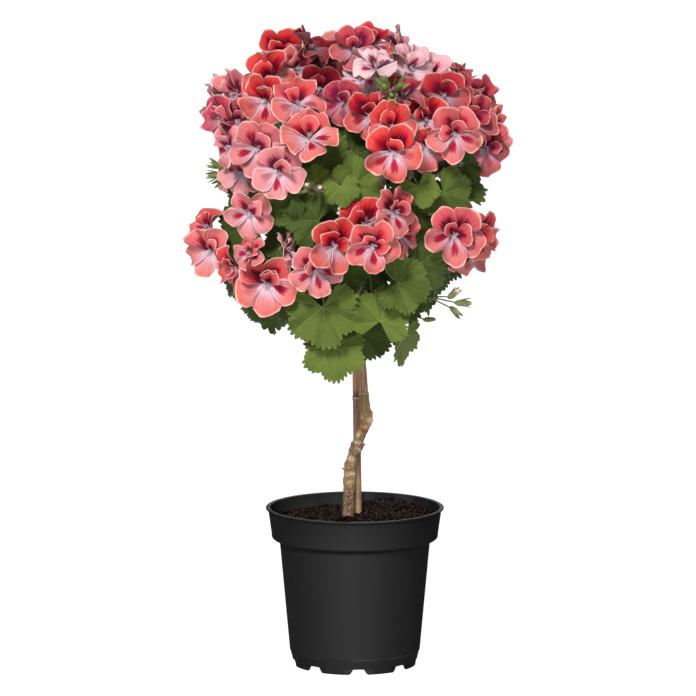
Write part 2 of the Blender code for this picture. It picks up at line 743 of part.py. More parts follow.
def plan_heads():
    """Rough places of all heads: the ones seen from the front, then those at the back by rule."""
    heads = []
    for name, rows in HEADS.items():
        blooms = []
        for number, (across, up, nearer, turn, tilt, size) in enumerate(rows):
            at = on_crown(across * MM, up * MM, nearer * MM)
            roll = 9 * math.sin(37 * (number + 1) + ord(name))
            bud = size <= BUD_SIZE
            blooms.append({"at": at, "axes": facing(turn, tilt, roll), "size": size, "bud": bud})
        heads.append({"name": name, "blooms": blooms})
    step = (BACK_TURNS[1] - BACK_TURNS[0]) / (BACK_HEADS - 1)
    places = [(BACK_TURNS[0] + step * number, BACK_TILTS[number % 2]) for number in range(BACK_HEADS)]
    for number, (turn, tilt) in enumerate(places + [TOP_HEAD]):
        axes = facing(turn, tilt, BACK_ROLL * number)
        out = axes.col[2]
        reach = Vector(tuple(a * b for a, b in zip(out, CROWN_REACH)))
        middle = CROWN_CENTRE + reach * 0.97
        blooms = []
        for petal in range(BACK_BLOOMS):
            angle = math.tau * petal / BACK_BLOOMS
            aside = axes @ Vector((math.cos(angle), math.sin(angle), 0))
            lean = (out * math.cos(BACK_LEAN) + aside * math.sin(BACK_LEAN)).normalized()
            at = middle + aside * BACK_SPREAD
            blooms.append({"at": at, "axes": axes_about(lean), "size": BACK_SIZE, "bud": False})
        heads.append({"name": f"r{number}", "blooms": blooms})
    return heads


def set_heads(standing):
    """Give every bloom a clear place, and each head the point from which its stalks spread."""
    heads = plan_heads()
    for head in heads:
        blooms = head["blooms"]
        middle = sum((bloom["at"] for bloom in blooms), Vector()) / len(blooms)
        out = sum((bloom["axes"].col[2] for bloom in blooms), Vector()).normalized()
        inward = (CROWN_HEART - middle).normalized()
        head["hub"] = middle + (inward * 0.7 - out * 0.5).normalized() * HUB_DEPTH
        head["out"] = (head["hub"] - CROWN_HEART).normalized()
        head["stalks"] = head["name"] + "_stalks"
        for bloom in blooms:
            settle_bloom(bloom, head, standing)
    return heads


def bloom_tries(bloom, head):
    """Ever smaller forms of a bloom, each at several depths, with the owners that it may touch."""
    wanted = bloom["at"]
    full = bloom["size"]
    out = bloom["axes"].col[2]
    line = SIGHT_LINE if out.y < 0.3 else out
    for may_touch in ((), (head["name"], head["stalks"])):
        for share in BLOOM_SHARES:
            bloom["size"] = full * share
            for offset in depth_tries():
                bloom["at"] = wanted + line * offset
                yield may_touch


def settle_bloom(bloom, head, standing):
    """Find a place for a bloom and its stalk that is clear of all other heads."""
    for may_touch in bloom_tries(bloom, head):
        corolla, stalk = bloom_tests(bloom, head["hub"])
        if standing.is_clear(corolla, *may_touch) and standing.is_clear(stalk, head["stalks"], *may_touch):
            break
    standing.add(head["name"], corolla)
    standing.add(head["stalks"], stalk)


def hub_ends(head):
    """The ends of the short stem from which a head's stalks spread."""
    half = head["out"] * HUB_LENGTH / 2
    return [head["hub"] - half, head["hub"] + half]


def stump_axis(azimuth, climb):
    """The direction that climbs outwards from the trunk."""
    level = math.cos(climb)
    return Vector((math.cos(azimuth) * level, math.sin(azimuth) * level, math.sin(climb)))


def plan_branches(heads):
    """One green branch for each head, and low shoots that carry only leaves, lowest first."""
    plans = []
    for head in heads:
        name = f"branch_{head['name']}"
        plans.append({"name": name, "to": head["hub"], "out": head["out"], "head": head})
    for number, (azimuth, reach, height) in enumerate(LOW_SHOOTS):
        out = stump_axis(math.radians(azimuth), math.radians(20))
        to = Vector((CROWN_HEART.x, CROWN_HEART.y, height * MM)) + Vector((out.x, out.y, 0)) * reach * MM
        plans.append({"name": f"leaf_shoot_{number}", "to": to, "out": out, "head": None})
    plans.sort(key=lambda plan: plan["to"].z)
    for number, plan in enumerate(plans):
        plan["height"] = STUMP_LOW + (STUMP_HIGH - STUMP_LOW) * number / (len(plans) - 1)
    return plans


def leaning(out):
    """The direction itself, then directions that lean away from it to all sides."""
    yield out
    axes = axes_about(out)
    for lean in (20, 40, 60):
        for turn in range(0, 360, 60):
            away = axes @ Vector((math.cos(math.radians(turn)), math.sin(math.radians(turn)), 0))
            yield (out * math.cos(math.radians(lean)) + away * math.sin(math.radians(lean))).normalized()


def stump_tries(plan):
    """Places for a branch's stump, those nearest to the wanted height and direction first."""
    tries = []
    for level in range(STUMP_LEVELS):
        height = STUMP_LOW + (STUMP_HIGH - STUMP_LOW) * level / (STUMP_LEVELS - 1)
        for swing in range(-100, 101, 20):
            for climb in (30, 50):
                cost = abs(height - plan["height"]) / (20 * MM) + abs(swing) / 40 + abs(climb - 30) / 100
                tries.append((cost, height, swing, climb))
    tries.sort()
    for cost, height, swing, climb in tries:
        middle, radius = trunk_point(height)
        away = plan["to"] - middle
        azimuth = math.atan2(away.y, away.x) + math.radians(swing)
        axis = stump_axis(azimuth, math.radians(climb))
        yield middle, middle + axis * radius, axis, middle + axis * (radius + STUMP_LENGTH)


def bend_tries(plan, axis, stump_end):
    """Bends from a stump to the branch's head, the plainest first."""
    for out in leaning(plan["out"]):
        end = plan["to"]
        if plan["head"]:
            end = end - out * (HUB_LENGTH / 2 + BUTT_GAP)
            stalks = [(bloom["at"] - plan["to"]).normalized() for bloom in plan["head"]["blooms"]]
            if min(stalk.dot(out) for stalk in stalks) < LEAST_FORWARD:
                continue
        start = stump_end + axis * BUTT_GAP
        low = start + axis * STRAIGHT_END
        high = end - out * STRAIGHT_END
        for pull in (0.36, 0.22, 0.5):
            yield out, [start] + bend(low, axis, high, out, BRANCH_POINTS, pull) + [end]


def settle_branch(plan, standing):
    """Find a stump and a bend that are clear of everything; True if there are any."""
    head = plan["head"]
    for middle, bark, axis, stump_end in stump_tries(plan):
        stump = joined_tree((sleeve_test([bark, stump_end], STUMP_RADIUS),))
        if not standing.is_clear(stump, "trunk"):
            continue
        for out, path in bend_tries(plan, axis, stump_end):
            stem = joined_tree((sleeve_test(path, BRANCH_RADIUS),))
            if not standing.is_clear(stem, head["stalks"] if head else None):
                continue
            plan.update({"middle": middle, "stump_end": stump_end, "out": out, "path": path})
            standing.add(plan["name"] + "_stump", stump)
            standing.add(plan["name"], stem)
            return True
    return False


def set_branches(heads, standing):
    """Give every branch its stump on the trunk and a clear bend to its head."""
    branches = []
    for plan in plan_branches(heads):
        if not settle_branch(plan, standing):
            continue
        plan["leaves"] = []
        head = plan["head"]
        if head:
            head["out"] = plan["out"]
            standing.add(head["name"], joined_tree((sleeve_test(hub_ends(head), HUB_RADIUS),)))
        branches.append(plan)
    return branches


def plan_leaves():
    """Leaves of the front view, then those at the back by rule."""
    leaves = []
    for across, up, nearer, turn, tilt, roll, length in LEAVES:
        at = on_crown(across * MM, up * MM, nearer * MM)
        axes = facing(turn, tilt, roll)
        leaves.append({"at": at, "axes": axes, "length": length * MM, "line": SIGHT_LINE})
    draw = random.Random(SEED)
    for number in range(BACK_LEAVES):
        turn = 180 + (number * 137.5 % 210) - 105
        tilt = 40 - 90 * (number + 0.5) / BACK_LEAVES
        out = facing(turn, tilt).col[2]
        reach = Vector(tuple(a * b for a, b in zip(out, CROWN_REACH)))
        at = CROWN_CENTRE + reach * draw.uniform(0.72, 0.86)
        axes = facing(turn + draw.uniform(-20, 20), tilt * 0.4 + 10, draw.uniform(-50, 50))
        leaves.append({"at": at, "axes": axes, "length": draw.uniform(38, 48) * MM, "line": out})
    return leaves


def petiole_path(root, along, leaf):
    """The leaf stalk from its root to the blade, which it meets from behind."""
    up, out = leaf["axes"].col[1], leaf["axes"].col[2]
    arrive = (out * 0.45 - up * 0.75).normalized()
    leave = ((leaf["at"] - root).normalized() + along * 0.5).normalized()
    points = leaf_sheet(leaf["length"])[0]
    middle = len(points) // 2
    foot = leaf["at"] + leaf["axes"] @ (points[middle] + points[middle + 1]) * PETIOLE_SEAT / 2
    return bend(root, leave, foot, arrive, PETIOLE_POINTS, 0.3)


def roots_near(leaf, branches):
    """Places on the branches where the leaf's stalk could start, nearest first."""
    roots = []
    for branch in branches:
        path = branch["path"]
        for at in range(1, len(path) - 1):
            distance = (path[at] - leaf["at"]).length
            if PETIOLE_LEAST < distance < PETIOLE_MOST:
                roots.append((distance, branch["name"], at, branch))
    roots.sort(key=lambda root: root[:3])
    return roots[:ROOTS_TRIED]


def leaf_tries(leaf):
    """Ever smaller and more tilted forms of a leaf, each at several depths."""
    wanted = leaf["at"]
    full = leaf["length"]
    axes = leaf["axes"]
    for share, nod in LEAF_TRIES:
        leaf["length"] = full * share
        leaf["axes"] = axes @ Matrix.Rotation(math.radians(nod), 3, "X")
        points, triangles = leaf_sheet(leaf["length"])
        for offset in depth_tries():
            leaf["at"] = wanted + leaf["line"] * offset
            yield points, triangles


def settle_leaf(name, leaf, branches, standing):
    """Find a clear place for the leaf and a clear stalk to a branch, if there are any."""
    for points, triangles in leaf_tries(leaf):
        sheet = sheet_test(placed(points, leaf["axes"], leaf["at"]), triangles, BLADE_THICKNESS)
        blade = joined_tree((sheet,))
        if not standing.is_clear(blade):
            continue
        for distance, owner, at, branch in roots_near(leaf, branches):
            path = branch["path"]
            along = (path[at + 1] - path[at]).normalized()
            stalk = petiole_path(path[at], along, leaf)
            tree = joined_tree((sleeve_test(stalk, PETIOLE_RADIUS),))
            if standing.is_clear(tree, owner):
                leaf["stalk"] = stalk
                branch["leaves"].append(leaf)
                standing.add(name, blade)
                standing.add(name, tree)
                return


def set_leaves(branches, standing):
    """Hang every leaf that finds room on a branch by a clear stalk."""
    for number, leaf in enumerate(plan_leaves()):
        settle_leaf(f"leaf_{number}", leaf, branches, standing)


def plain_mesh(item, material):
    """Give the finished body its one material, smooth but for its sharp edges."""
    mesh = item.data
    mesh.materials.clear()
    mesh.materials.append(material)
    for face in mesh.polygons:
        face.material_index = 0
    mesh.shade_smooth()
    mesh.set_sharp_from_angle(angle=SHARP_ANGLE)


def thick_sheet(name, points, triangles, thickness, group):
    """A blade of even thickness about a sheet."""
    made = mesh_object(name, points, triangles, group)
    solid = made.modifiers.new("thickness", "SOLIDIFY")
    solid.thickness = thickness
    solid.offset = 0
    return made


def make_trunk(group, branches, outlines, material):
    """The woody stem with its knots, two short twigs and a stump under each branch."""
    points, radii = trunk_route()
    trunk = tube("trunk", points, radii, outlines[8], group)
    pieces = []
    for branch in branches:
        ends = [branch["middle"], branch["stump_end"]]
        stump_radii = [STUMP_RADIUS, BRANCH_RADIUS + 0.2 * MM]
        pieces.append(tube("stump", ends, stump_radii, outlines[3], group))
    for height, away, length in TWIGS:
        middle, radius = trunk_point(height * MM)
        tip = middle + Vector(away).normalized() * (radius + length * MM)
        pieces.append(tube("twig", [middle, tip], TWIG_RADII, outlines[4], group))
    fuse(trunk, pieces, group)
    plain_mesh(trunk, material)


def make_cane(group, outline, material):
    """The bamboo cane that holds the trunk up, set a little aslant behind it."""
    points, radii = cane_route()
    cane = tube("cane", points, radii, outline, group)
    plain_mesh(cane, material)


def make_head(head, group, outlines, materials):
    """A hub with its little stalks, each ending in a bloom or a bud, as one body."""
    green = all(bloom["bud"] for bloom in head["blooms"])
    base = tube(head_name(head), hub_ends(head), [HUB_RADIUS * 0.8, HUB_RADIUS], outlines[5], group)
    pieces = []
    for bloom in head["blooms"]:
        if bloom["bud"]:
            pieces += make_bud(bloom, head, group, outlines[3])
            continue
        stalk = pedicel_path(bloom, head["hub"])
        radii = [PEDICEL_RADIUS] * (len(stalk) - 2) + [CALYX_RADIUS, PETAL_THICKNESS * 0.3]
        pieces.append(tube("pedicel", stalk, radii, outlines[3], group))
        points, triangles = bloom_sheet(bloom["size"])
        points = placed(points, bloom["axes"], bloom["at"])
        pieces.append(thick_sheet("corolla", points, triangles, PETAL_THICKNESS, group))
    fuse(base, pieces, group)
    plain_mesh(base, materials["green" if green else "petal"])


def make_bud(bloom, head, group, outline):
    """An unopened bud on its stalk."""
    out = bloom["axes"].col[2]
    half = BUD_LENGTH * bloom["size"]
    body = mesh_object("bud", [], [], group)
    shape = bmesh.new()
    bmesh.ops.create_icosphere(shape, subdivisions=1, radius=1)
    slim = Matrix.Diagonal((half * 0.45, half * 0.45, half, 1))
    bmesh.ops.transform(shape, verts=shape.verts, matrix=bloom["axes"].to_4x4() @ slim)
    bmesh.ops.translate(shape, verts=shape.verts, vec=bloom["at"])
    shape.to_mesh(body.data)
    shape.free()
    stalk = [head["hub"], bloom["at"] - out * half * 0.6]
    return [body, tube("pedicel", stalk, [PEDICEL_RADIUS, PEDICEL_RADIUS], outline, group)]


def head_name(head):
    return f"bloom_head_{head['name']}"


def make_branch(branch, group, outlines, material):
    """A green branch with its leaf stalks and blades, as one body."""
    path = branch["path"]
    count = len(path) - 1
    radii = [BRANCH_RADIUS + (BRANCH_TIP_RADIUS - BRANCH_RADIUS) * at / count for at in range(count + 1)]
    base = tube(branch["name"], path, radii, outlines[4], group)
    pieces = []
    for leaf in branch["leaves"]:
        radii = [PETIOLE_RADIUS] * (len(leaf["stalk"]) - 1) + [BLADE_THICKNESS * 0.3]
        pieces.append(tube("petiole", leaf["stalk"], radii, outlines[3], group))
        points, triangles = leaf_sheet(leaf["length"])
        points = placed(points, leaf["axes"], leaf["at"])
        pieces.append(thick_sheet("blade", points, triangles, BLADE_THICKNESS, group))
    if pieces:
        fuse(base, pieces, group)
    plain_mesh(base, material)


def woody_tests():
    """Search trees over the trunk and the cane."""
    points, radii = trunk_route()
    trunk = joined_tree((sleeve_test(points[1:], max(radii[9:])),))
    cane = joined_tree((sleeve_test([CANE_FOOT, CANE_TOP], CANE_NODE_RADIUS),))
    return trunk, cane


def main():
    remove_everything()
    group = new_collection(OBJECT_NAME)
    pot_cutters = new_collection("pot_cutters")
    soil_cutters = new_collection("soil_cutters")
    guides = new_collection("guides")
    materials = make_materials()
    outlines = {sides: section(sides, guides) for sides in (3, 4, 5, 8)}
    standing = Standing()
    trunk, cane = woody_tests()
    standing.add("trunk", trunk)
    standing.add("cane", cane)
    heads = set_heads(standing)
    branches = set_branches(heads, standing)
    set_leaves(branches, standing)
    make_trunk(group, branches, outlines, materials["bark"])
    make_cane(group, outlines[8], materials["cane"])
    for head in heads:
        make_head(head, group, outlines, materials)
    for branch in branches:
        make_branch(branch, group, outlines, materials["green"])
    make_pot(group, pot_cutters, materials["pot"])
    make_soil(group, soil_cutters, outlines[8], materials["soil"])


main()
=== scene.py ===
"""Looks of the regal pelargonium: fine petals, leaves, bark, cane, pot and soil on its frame.

The first half sets every bloom, branch and leaf by the rules of the part's own source, so that
the fine pieces lie where the solids are. The second half makes the pieces and their materials,
the floor, the lights and the camera. Lengths are metres and +Z is up.
"""

import math
import random

import bpy
import numpy as np
from mathutils import Matrix, Vector, noise
from mathutils.bvhtree import BVHTree
from mathutils.geometry import interpolate_bezier

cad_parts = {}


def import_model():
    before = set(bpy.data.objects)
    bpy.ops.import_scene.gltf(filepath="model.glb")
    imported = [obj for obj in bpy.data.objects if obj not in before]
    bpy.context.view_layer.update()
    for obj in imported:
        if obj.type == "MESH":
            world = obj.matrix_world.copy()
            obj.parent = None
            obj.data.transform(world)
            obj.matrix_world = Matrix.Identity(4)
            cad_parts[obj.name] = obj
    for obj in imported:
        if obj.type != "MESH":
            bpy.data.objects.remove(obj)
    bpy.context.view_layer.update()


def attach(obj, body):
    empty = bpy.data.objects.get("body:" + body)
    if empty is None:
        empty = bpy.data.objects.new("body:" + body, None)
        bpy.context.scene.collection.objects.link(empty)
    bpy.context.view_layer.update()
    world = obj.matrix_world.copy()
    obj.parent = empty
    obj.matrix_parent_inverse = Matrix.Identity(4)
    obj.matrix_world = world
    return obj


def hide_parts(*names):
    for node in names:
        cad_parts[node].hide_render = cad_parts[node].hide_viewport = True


MM = 0.001
# Pot
RIM_RADIUS = 95 * MM
POT_HEIGHT = 170 * MM
LIP_HEIGHT = 3.2 * MM
COLLAR_TOP_RADIUS = 92 * MM
COLLAR_FOOT_RADIUS = 88.7 * MM
COLLAR_FOOT_HEIGHT = 139 * MM
STEP_HEIGHT = 134 * MM
BODY_TOP_RADIUS = 80.2 * MM
BODY_FOOT_RADIUS = 69.5 * MM
BODY_FOOT_HEIGHT = 16.5 * MM
FOOT_RADIUS = 65.2 * MM
PLATE_HEIGHT = 6 * MM
WALL = 1.8 * MM
POT_TURN = math.radians(3.5)
FEET = 8
NOTCH_TOP_WIDTH = 12 * MM
NOTCH_FOOT_WIDTH = 21 * MM
NOTCH_HEIGHT = 5.6 * MM
DIP_RADIUS = 14 * MM
# Soil
SOIL_GAP = 0.4 * MM
SOIL_EDGE_HEIGHT = 156 * MM
SOIL_MOUND = 7 * MM
# Trunk and cane: across, depth, height and radius in millimetres, from the root up
TRUNK_PATH = (
    (-7.5, -5.5, 128, 6.0),
    (-7.5, -5.5, 163, 6.3),
    (-6.1, -5.5, 188, 6.5),
    (-4.9, -6.0, 212, 6.4),
    (0.8, -6.5, 233, 6.2),
    (3.4, -6.5, 238, 6.2),
    (4.8, -6.5, 244, 5.2),
    (10.6, -6.5, 257, 5.0),
    (12.1, -6.5, 264, 6.3),
    (12.1, -6.5, 269, 6.5),
    (11.1, -6.5, 276, 5.6),
    (9.9, -6.5, 289, 5.1),
    (9.8, -6.5, 291, 5.4),
    (9.4, -6.5, 293, 4.8),
    (8.4, -6.0, 308, 4.7),
    (7.0, -6.0, 325, 4.8),
    (4.0, -6.0, 350, 4.7),
    (0.0, -4.0, 378, 4.3),
    (-3.0, -2.0, 406, 3.9),
    (-4.0, 0.0, 432, 3.4),
    (-4.0, 0.0, 456, 2.4),
)
CANE_FOOT = Vector((5.0, 6.5, 40)) * MM
CANE_TOP = Vector((0.6, 6.5, 372)) * MM
CANE_RADIUS = 4.2 * MM
CANE_NODE_HEIGHTS = (95 * MM, 286.5 * MM)
CANE_NODE_RADIUS = 4.8 * MM
# Short dead twigs on the trunk: radii from foot to tip, then height (mm), direction and length (mm)
TWIG_RADII = (2.2 * MM, 1.3 * MM, 0.7 * MM)
TWIGS = ((209, (-1, -0.3, 0.5), 3.5), (237, (1, -0.4, 0.2), 3), (266, (0.9, -0.4, -0.3), 2))
# Crown, and the sight line from the front, which falls away with depth
CROWN_CENTRE = Vector((-8, 0, 500)) * MM
CROWN_REACH = Vector((160, 150, 175)) * MM
CROWN_HEART = Vector((-4, 0, 425)) * MM
SIGHT_DROP = math.tan(math.radians(7.5))
SIGHT_LINE = Vector((0, -1, SIGHT_DROP)).normalized()
# Clearances between pieces
BUTT_GAP = 0.3 * MM
CLEARANCE = 1.1 * MM
SLEEVE_SIDES = 6
SEED = 7
# Blooms
BLOOM_RADIUS = 29 * MM
PETAL_THICKNESS = 0.8 * MM
PETAL_AXES = (53, 127, 202, 270, 338)
THROAT_RADIUS = 3.4 * MM
PEDICEL_RADIUS = 1.0 * MM
CALYX_LENGTH = 5 * MM
BLOOM_SHARES = (1, 0.94, 0.88, 0.82)
ROOT_OFFSET = 0.9 * MM
ELBOW_FROM = -0.1
ELBOW_REACH = 7 * MM
BUD_SIZE = 0.5
BUD_LENGTH = 17 * MM
HUB_DEPTH = 34 * MM
HUB_LENGTH = 6 * MM
HUB_RADIUS = 3.2 * MM
# Leaves
BLADE_THICKNESS = 0.8 * MM
LEAF_HALF_SPREAD = 140
LOBE_STEP = 28
FINE_LEAF = 49 * MM
PETIOLE_RADIUS = 1.05 * MM
PETIOLE_POINTS = 4
PETIOLE_SEAT = 0.1
PETIOLE_LEAST = 14 * MM
PETIOLE_MOST = 120 * MM
ROOTS_TRIED = 40
# Sizes and nods (degrees) that a leaf may take to find a clear place, the planned one first
LEAF_TRIES = ((1, 0), (1, 14), (1, -14), (0.9, 0), (0.9, 24), (0.9, -24), (0.8, 0), (0.8, 34), (0.7, 0))
# Branches
STUMP_LOW = 334 * MM
STUMP_HIGH = 450 * MM
STUMP_LEVELS = 14
STUMP_LENGTH = 9 * MM
STUMP_RADIUS = 2.9 * MM
BRANCH_RADIUS = 2.3 * MM
BRANCH_TIP_RADIUS = 1.6 * MM
BRANCH_POINTS = 4
STRAIGHT_END = 2 * MM
LEAST_FORWARD = 0.1
# Blooms of the heads that show from the front. Each row gives across and up, how much nearer
# than the crown's surface (mm), the turn to the right and the tilt upwards (degrees), and the
# bloom's size against the usual one. A size of a half or less is an unopened bud.
HEADS = {
    "a": ((-78, 655, 0, -10, 10, 0.93), (-89, 629, 8, -15, 15, 0.97), (-50, 660, -12, 60, 40, 0.8),
          (-62, 640, -26, 20, 5, 0.8)),
    "b": ((-92, 604, 2, -25, 8, 0.93), (-125, 612, -6, -60, 15, 0.9), (-60, 600, 12, 5, 40, 0.93),
          (-48, 564, 20, 5, 52, 1.0), (-68, 557, -4, 40, -10, 0.83)),
    "c": ((-138, 588, 2, -55, 0, 0.9), (-143, 608, -12, -95, 20, 0.85), (-130, 556, -4, -60, 0, 0.8),
          (-120, 584, -16, -35, 0, 0.8)),
    "d": ((-101, 553, 6, -8, 10, 0.97), (-118, 530, -4, -20, -5, 0.93), (-80, 530, 22, 10, -5, 0.93)),
    "e": ((0, 659, 4, -5, 22, 0.83), (17, 664, -10, 12, 45, 0.8), (-34, 648, -34, -5, 0, 0.86),
          (-38, 618, -30, 5, 0, 0.86), (-13, 602, -14, -5, 10, 0.8)),
    "f": ((22, 638, 6, 20, 60, 0.93), (56, 638, -2, 40, 20, 0.97), (46, 660, -14, 60, 40, 0.83),
          (77, 629, 2, 30, 45, 0.97), (50, 608, -8, 0, 50, 0.8), (45, 618, 28, 30, 25, 0.5),
          (31, 618, 28, -20, 30, 0.5), (6, 627, -8, -15, 30, 0.74), (38, 610, 26, 0, -5, 0.42)),
    "g": ((39, 550, 20, 0, 0, 1.0), (38, 576, 2, 0, 30, 0.9), (16, 588, 4, -10, 15, 0.93),
          (72, 584, -4, 20, 15, 0.86), (75, 555, -10, 30, -10, 0.83)),
    "h": ((92, 609, 4, 10, 20, 0.9), (108, 611, -8, 20, 10, 0.93), (130, 606, -4, 45, 10, 0.9),
          (108, 631, -12, 70, 50, 0.8)),
    "i": ((103, 570, 10, 0, 0, 0.97), (122, 585, -4, 25, 8, 0.93), (136, 555, 4, 35, 5, 0.97),
          (146, 576, -10, 65, 8, 0.86)),
    "j": ((-109, 486, 0, -5, -5, 0.86),),
    "k": ((-151, 446, 2, -30, 0, 0.9), (-154, 471, -8, -50, 30, 0.74)),
    "l": ((-92, 413, 10, -5, -5, 1.07), (-74, 449, -2, 70, 15, 0.62), (-123, 428, 0, -60, -10, 0.83),
          (-108, 444, -10, -30, 20, 0.62)),
    "m": ((-41, 427, 6, 5, -5, 0.93), (-22, 452, 0, 15, 5, 0.97)),
    "n": ((18, 453, 18, 5, -5, 0.93), (9, 474, 0, -5, 10, 0.97), (40, 487, -6, 40, 15, 0.86),
          (45, 464, -8, 45, -5, 0.8)),
    "o": ((104, 464, 6, 0, 0, 1.04), (127, 463, -8, 50, 0, 0.9), (118, 441, -4, 30, -30, 0.76)),
    "p": ((103, 400, 10, 50, 35, 0.5), (113, 390, 6, 75, 0, 0.5), (106, 381, 2, 60, -35, 0.46)),
    "q": ((78, 373, 0, 75, 5, 0.4),),
    "s": ((-47, 515, 8, -30, 10, 0.42), (-38, 512, 8, 25, 15, 0.38), (-54, 509, 6, -70, 0, 0.36)),
    "t": ((-145, 536, 0, -80, 25, 0.45), (-147, 526, 0, -85, -5, 0.45), (-141, 519, 0, -60, -35, 0.42)),
}
# Heads at the back: how many, and their turns, tilts and rolls in degrees; the last looks up
BACK_HEADS = 5
BACK_TURNS = (140, 220)
BACK_TILTS = (8, 48)
BACK_ROLL = 40
TOP_HEAD = (175, 62)
BACK_BLOOMS = 3
BACK_SIZE = 0.95
BACK_LEAN = math.radians(34)
BACK_SPREAD = 23 * MM
# Leaves that show from the front. Each row gives across and up of the point where the stalk
# meets the blade, how much nearer than the crown's surface (mm), turn, tilt and roll (degrees,
# 0 hangs down and 90 points right), the length from that point to the tip (mm), and the tone,
# from 0 for old and dark to 1 for young and bright.
LEAVES = (
    (-34, 387, -4, -8, -6, 8, 45, 0.5),
    (-22, 344, 12, 0, 12, 0, 37, 0.64),
    (26, 372, 12, 8, 8, 165, 36, 0.6),
    (3, 360, -22, 8, -8, 8, 41, 0.15),
    (54, 358, -8, 60, 0, 6, 34, 0.7),
    (62, 429, -14, 22, -4, 66, 40, 0.25),
    (44, 412, -4, 15, 18, 72, 36, 0.4),
    (-14, 424, -22, 5, 0, 30, 28, 0.15),
    (68, 484, -16, 12, 6, 50, 29, 0.6),
    (92, 506, -14, 20, 5, 50, 34, 0.4),
    (98, 524, -16, 25, 62, 84, 46, 0.25),
    (114, 538, -14, 40, 30, 85, 24, 0.15),
    (66, 514, -12, 0, 10, 20, 24, 0.75),
    (-1, 515, -12, 8, 8, 125, 32, 0.6),
    (-35, 536, -10, 0, 14, 150, 40, 0.35),
    (-40, 519, 0, -5, 20, 180, 18, 0.8),
    (-15, 514, -6, 5, 20, 10, 22, 0.75),
    (-76, 503, -12, -20, 10, -60, 32, 0.7),
    (-118, 470, -16, -40, 5, -120, 38, 0.15),
    (-38, 478, -36, -5, 10, -90, 38, 0.2),
    (-66, 458, -22, -10, 28, -60, 30, 0.2),
    (-124, 413, -2, -40, 0, -45, 20, 0.2),
    (-99, 390, 0, -15, 5, -25, 22, 0.2),
    (-58, 400, -26, -12, -12, -32, 38, 0.1),
    (-10, 480, -40, 0, 5, 20, 40, 0.1),
    (-30, 455, -44, -10, 0, -20, 40, 0.05),
    (40, 402, -44, 10, -5, -10, 40, 0.05),
    (78, 488, -44, 20, 5, 60, 40, 0.1),
    (-112, 500, -30, -30, 5, -70, 34, 0.1),
    (-62, 508, -34, -15, 10, -100, 28, 0.1),
    (0, 548, -50, 0, 10, 160, 36, 0.05),
    (0, 575, -50, 0, 0, 180, 34, 0.05),
    (84, 420, -44, 40, -10, 30, 40, 0.1),
    (58, 520, -46, 10, 0, 10, 34, 0.05),
    (62, 490, -44, 20, 5, 0, 26, 0.1),
    (-96, 456, -44, -20, 0, -10, 30, 0.05),
    (-54, 418, -44, -10, 0, 10, 26, 0.05),
    (46, 436, -46, 10, 0, 10, 28, 0.05),
    (48, 390, -18, 20, 10, 0, 20, 0.95),
)
BACK_LEAVES = 16
# Low shoots that bear only leaves: direction (degrees round the trunk), reach and height (mm)
LOW_SHOOTS = ((-115, 50, 385), (-60, 52, 378), (75, 50, 385))


def pot_inner():
    """The pot's inside from the floor up, as radius and height."""
    return [
        (FOOT_RADIUS + 1.0 * MM - WALL, PLATE_HEIGHT + WALL),
        (BODY_FOOT_RADIUS - WALL, BODY_FOOT_HEIGHT),
        (BODY_TOP_RADIUS - WALL, STEP_HEIGHT + WALL),
        (COLLAR_FOOT_RADIUS - 2.5 * MM - WALL, STEP_HEIGHT + 1.5 * MM + WALL),
        (COLLAR_FOOT_RADIUS - WALL, COLLAR_FOOT_HEIGHT + WALL),
        (COLLAR_TOP_RADIUS - WALL, POT_HEIGHT - LIP_HEIGHT),
    ]


def trunk_route():
    """Points and radii of the trunk, from the root up."""
    return [Vector(row[:3]) * MM for row in TRUNK_PATH], [row[3] * MM for row in TRUNK_PATH]


def trunk_point(height):
    """The trunk's middle and radius at a height."""
    points, radii = trunk_route()
    for low, high, low_radius, high_radius in zip(points, points[1:], radii, radii[1:]):
        if low.z <= height <= high.z:
            part = (height - low.z) / (high.z - low.z)
            return low.lerp(high, part), low_radius + (high_radius - low_radius) * part
    return points[-1], radii[-1]


def round_way(angle):
    """The level direction at an angle from the X axis."""
    return Vector((math.cos(angle), math.sin(angle), 0))


def facing(turn, tilt, roll=0):
    """Axes of something that faces the front, turned right, tilted up and rolled, in degrees."""
    turn = math.radians(turn)
    tilt = math.radians(tilt)
    out = Vector((math.sin(turn) * math.cos(tilt), -math.cos(turn) * math.cos(tilt), math.sin(tilt)))
    return axes_about(out, roll)


def leant(out, away, angle):
    """The direction out, leant over to one side by an angle."""
    return (out * math.cos(angle) + away * math.sin(angle)).normalized()


def axes_about(out, roll=0):
    """Axes with Z along out, Y as far up as it can be, then rolled in degrees."""
    side = Vector((0, 0, 1)).cross(out)
    if side.length < 1e-3:
        side = Vector((1, 0, 0))
    side.normalize()
    up = out.cross(side)
    axes = Matrix((side, up, out)).transposed()
    return axes @ Matrix.Rotation(math.radians(roll), 3, "Z")


def on_crown(across, up, nearer):
    """The place on the crown's surface behind a point of the front view."""
    reach = CROWN_REACH
    off = across - CROWN_CENTRE.x
    rise = up - CROWN_CENTRE.z
    square = 1 / reach.y ** 2 + SIGHT_DROP ** 2 / reach.z ** 2
    linear = -2 * SIGHT_DROP * rise / reach.z ** 2
    constant = (off / reach.x) ** 2 + (rise / reach.z) ** 2 - 1
    under_root = max(0, linear ** 2 - 4 * square * constant)
    depth = (-linear - math.sqrt(under_root)) / (2 * square)
    return Vector((across, depth, up - SIGHT_DROP * depth)) + SIGHT_LINE * nearer


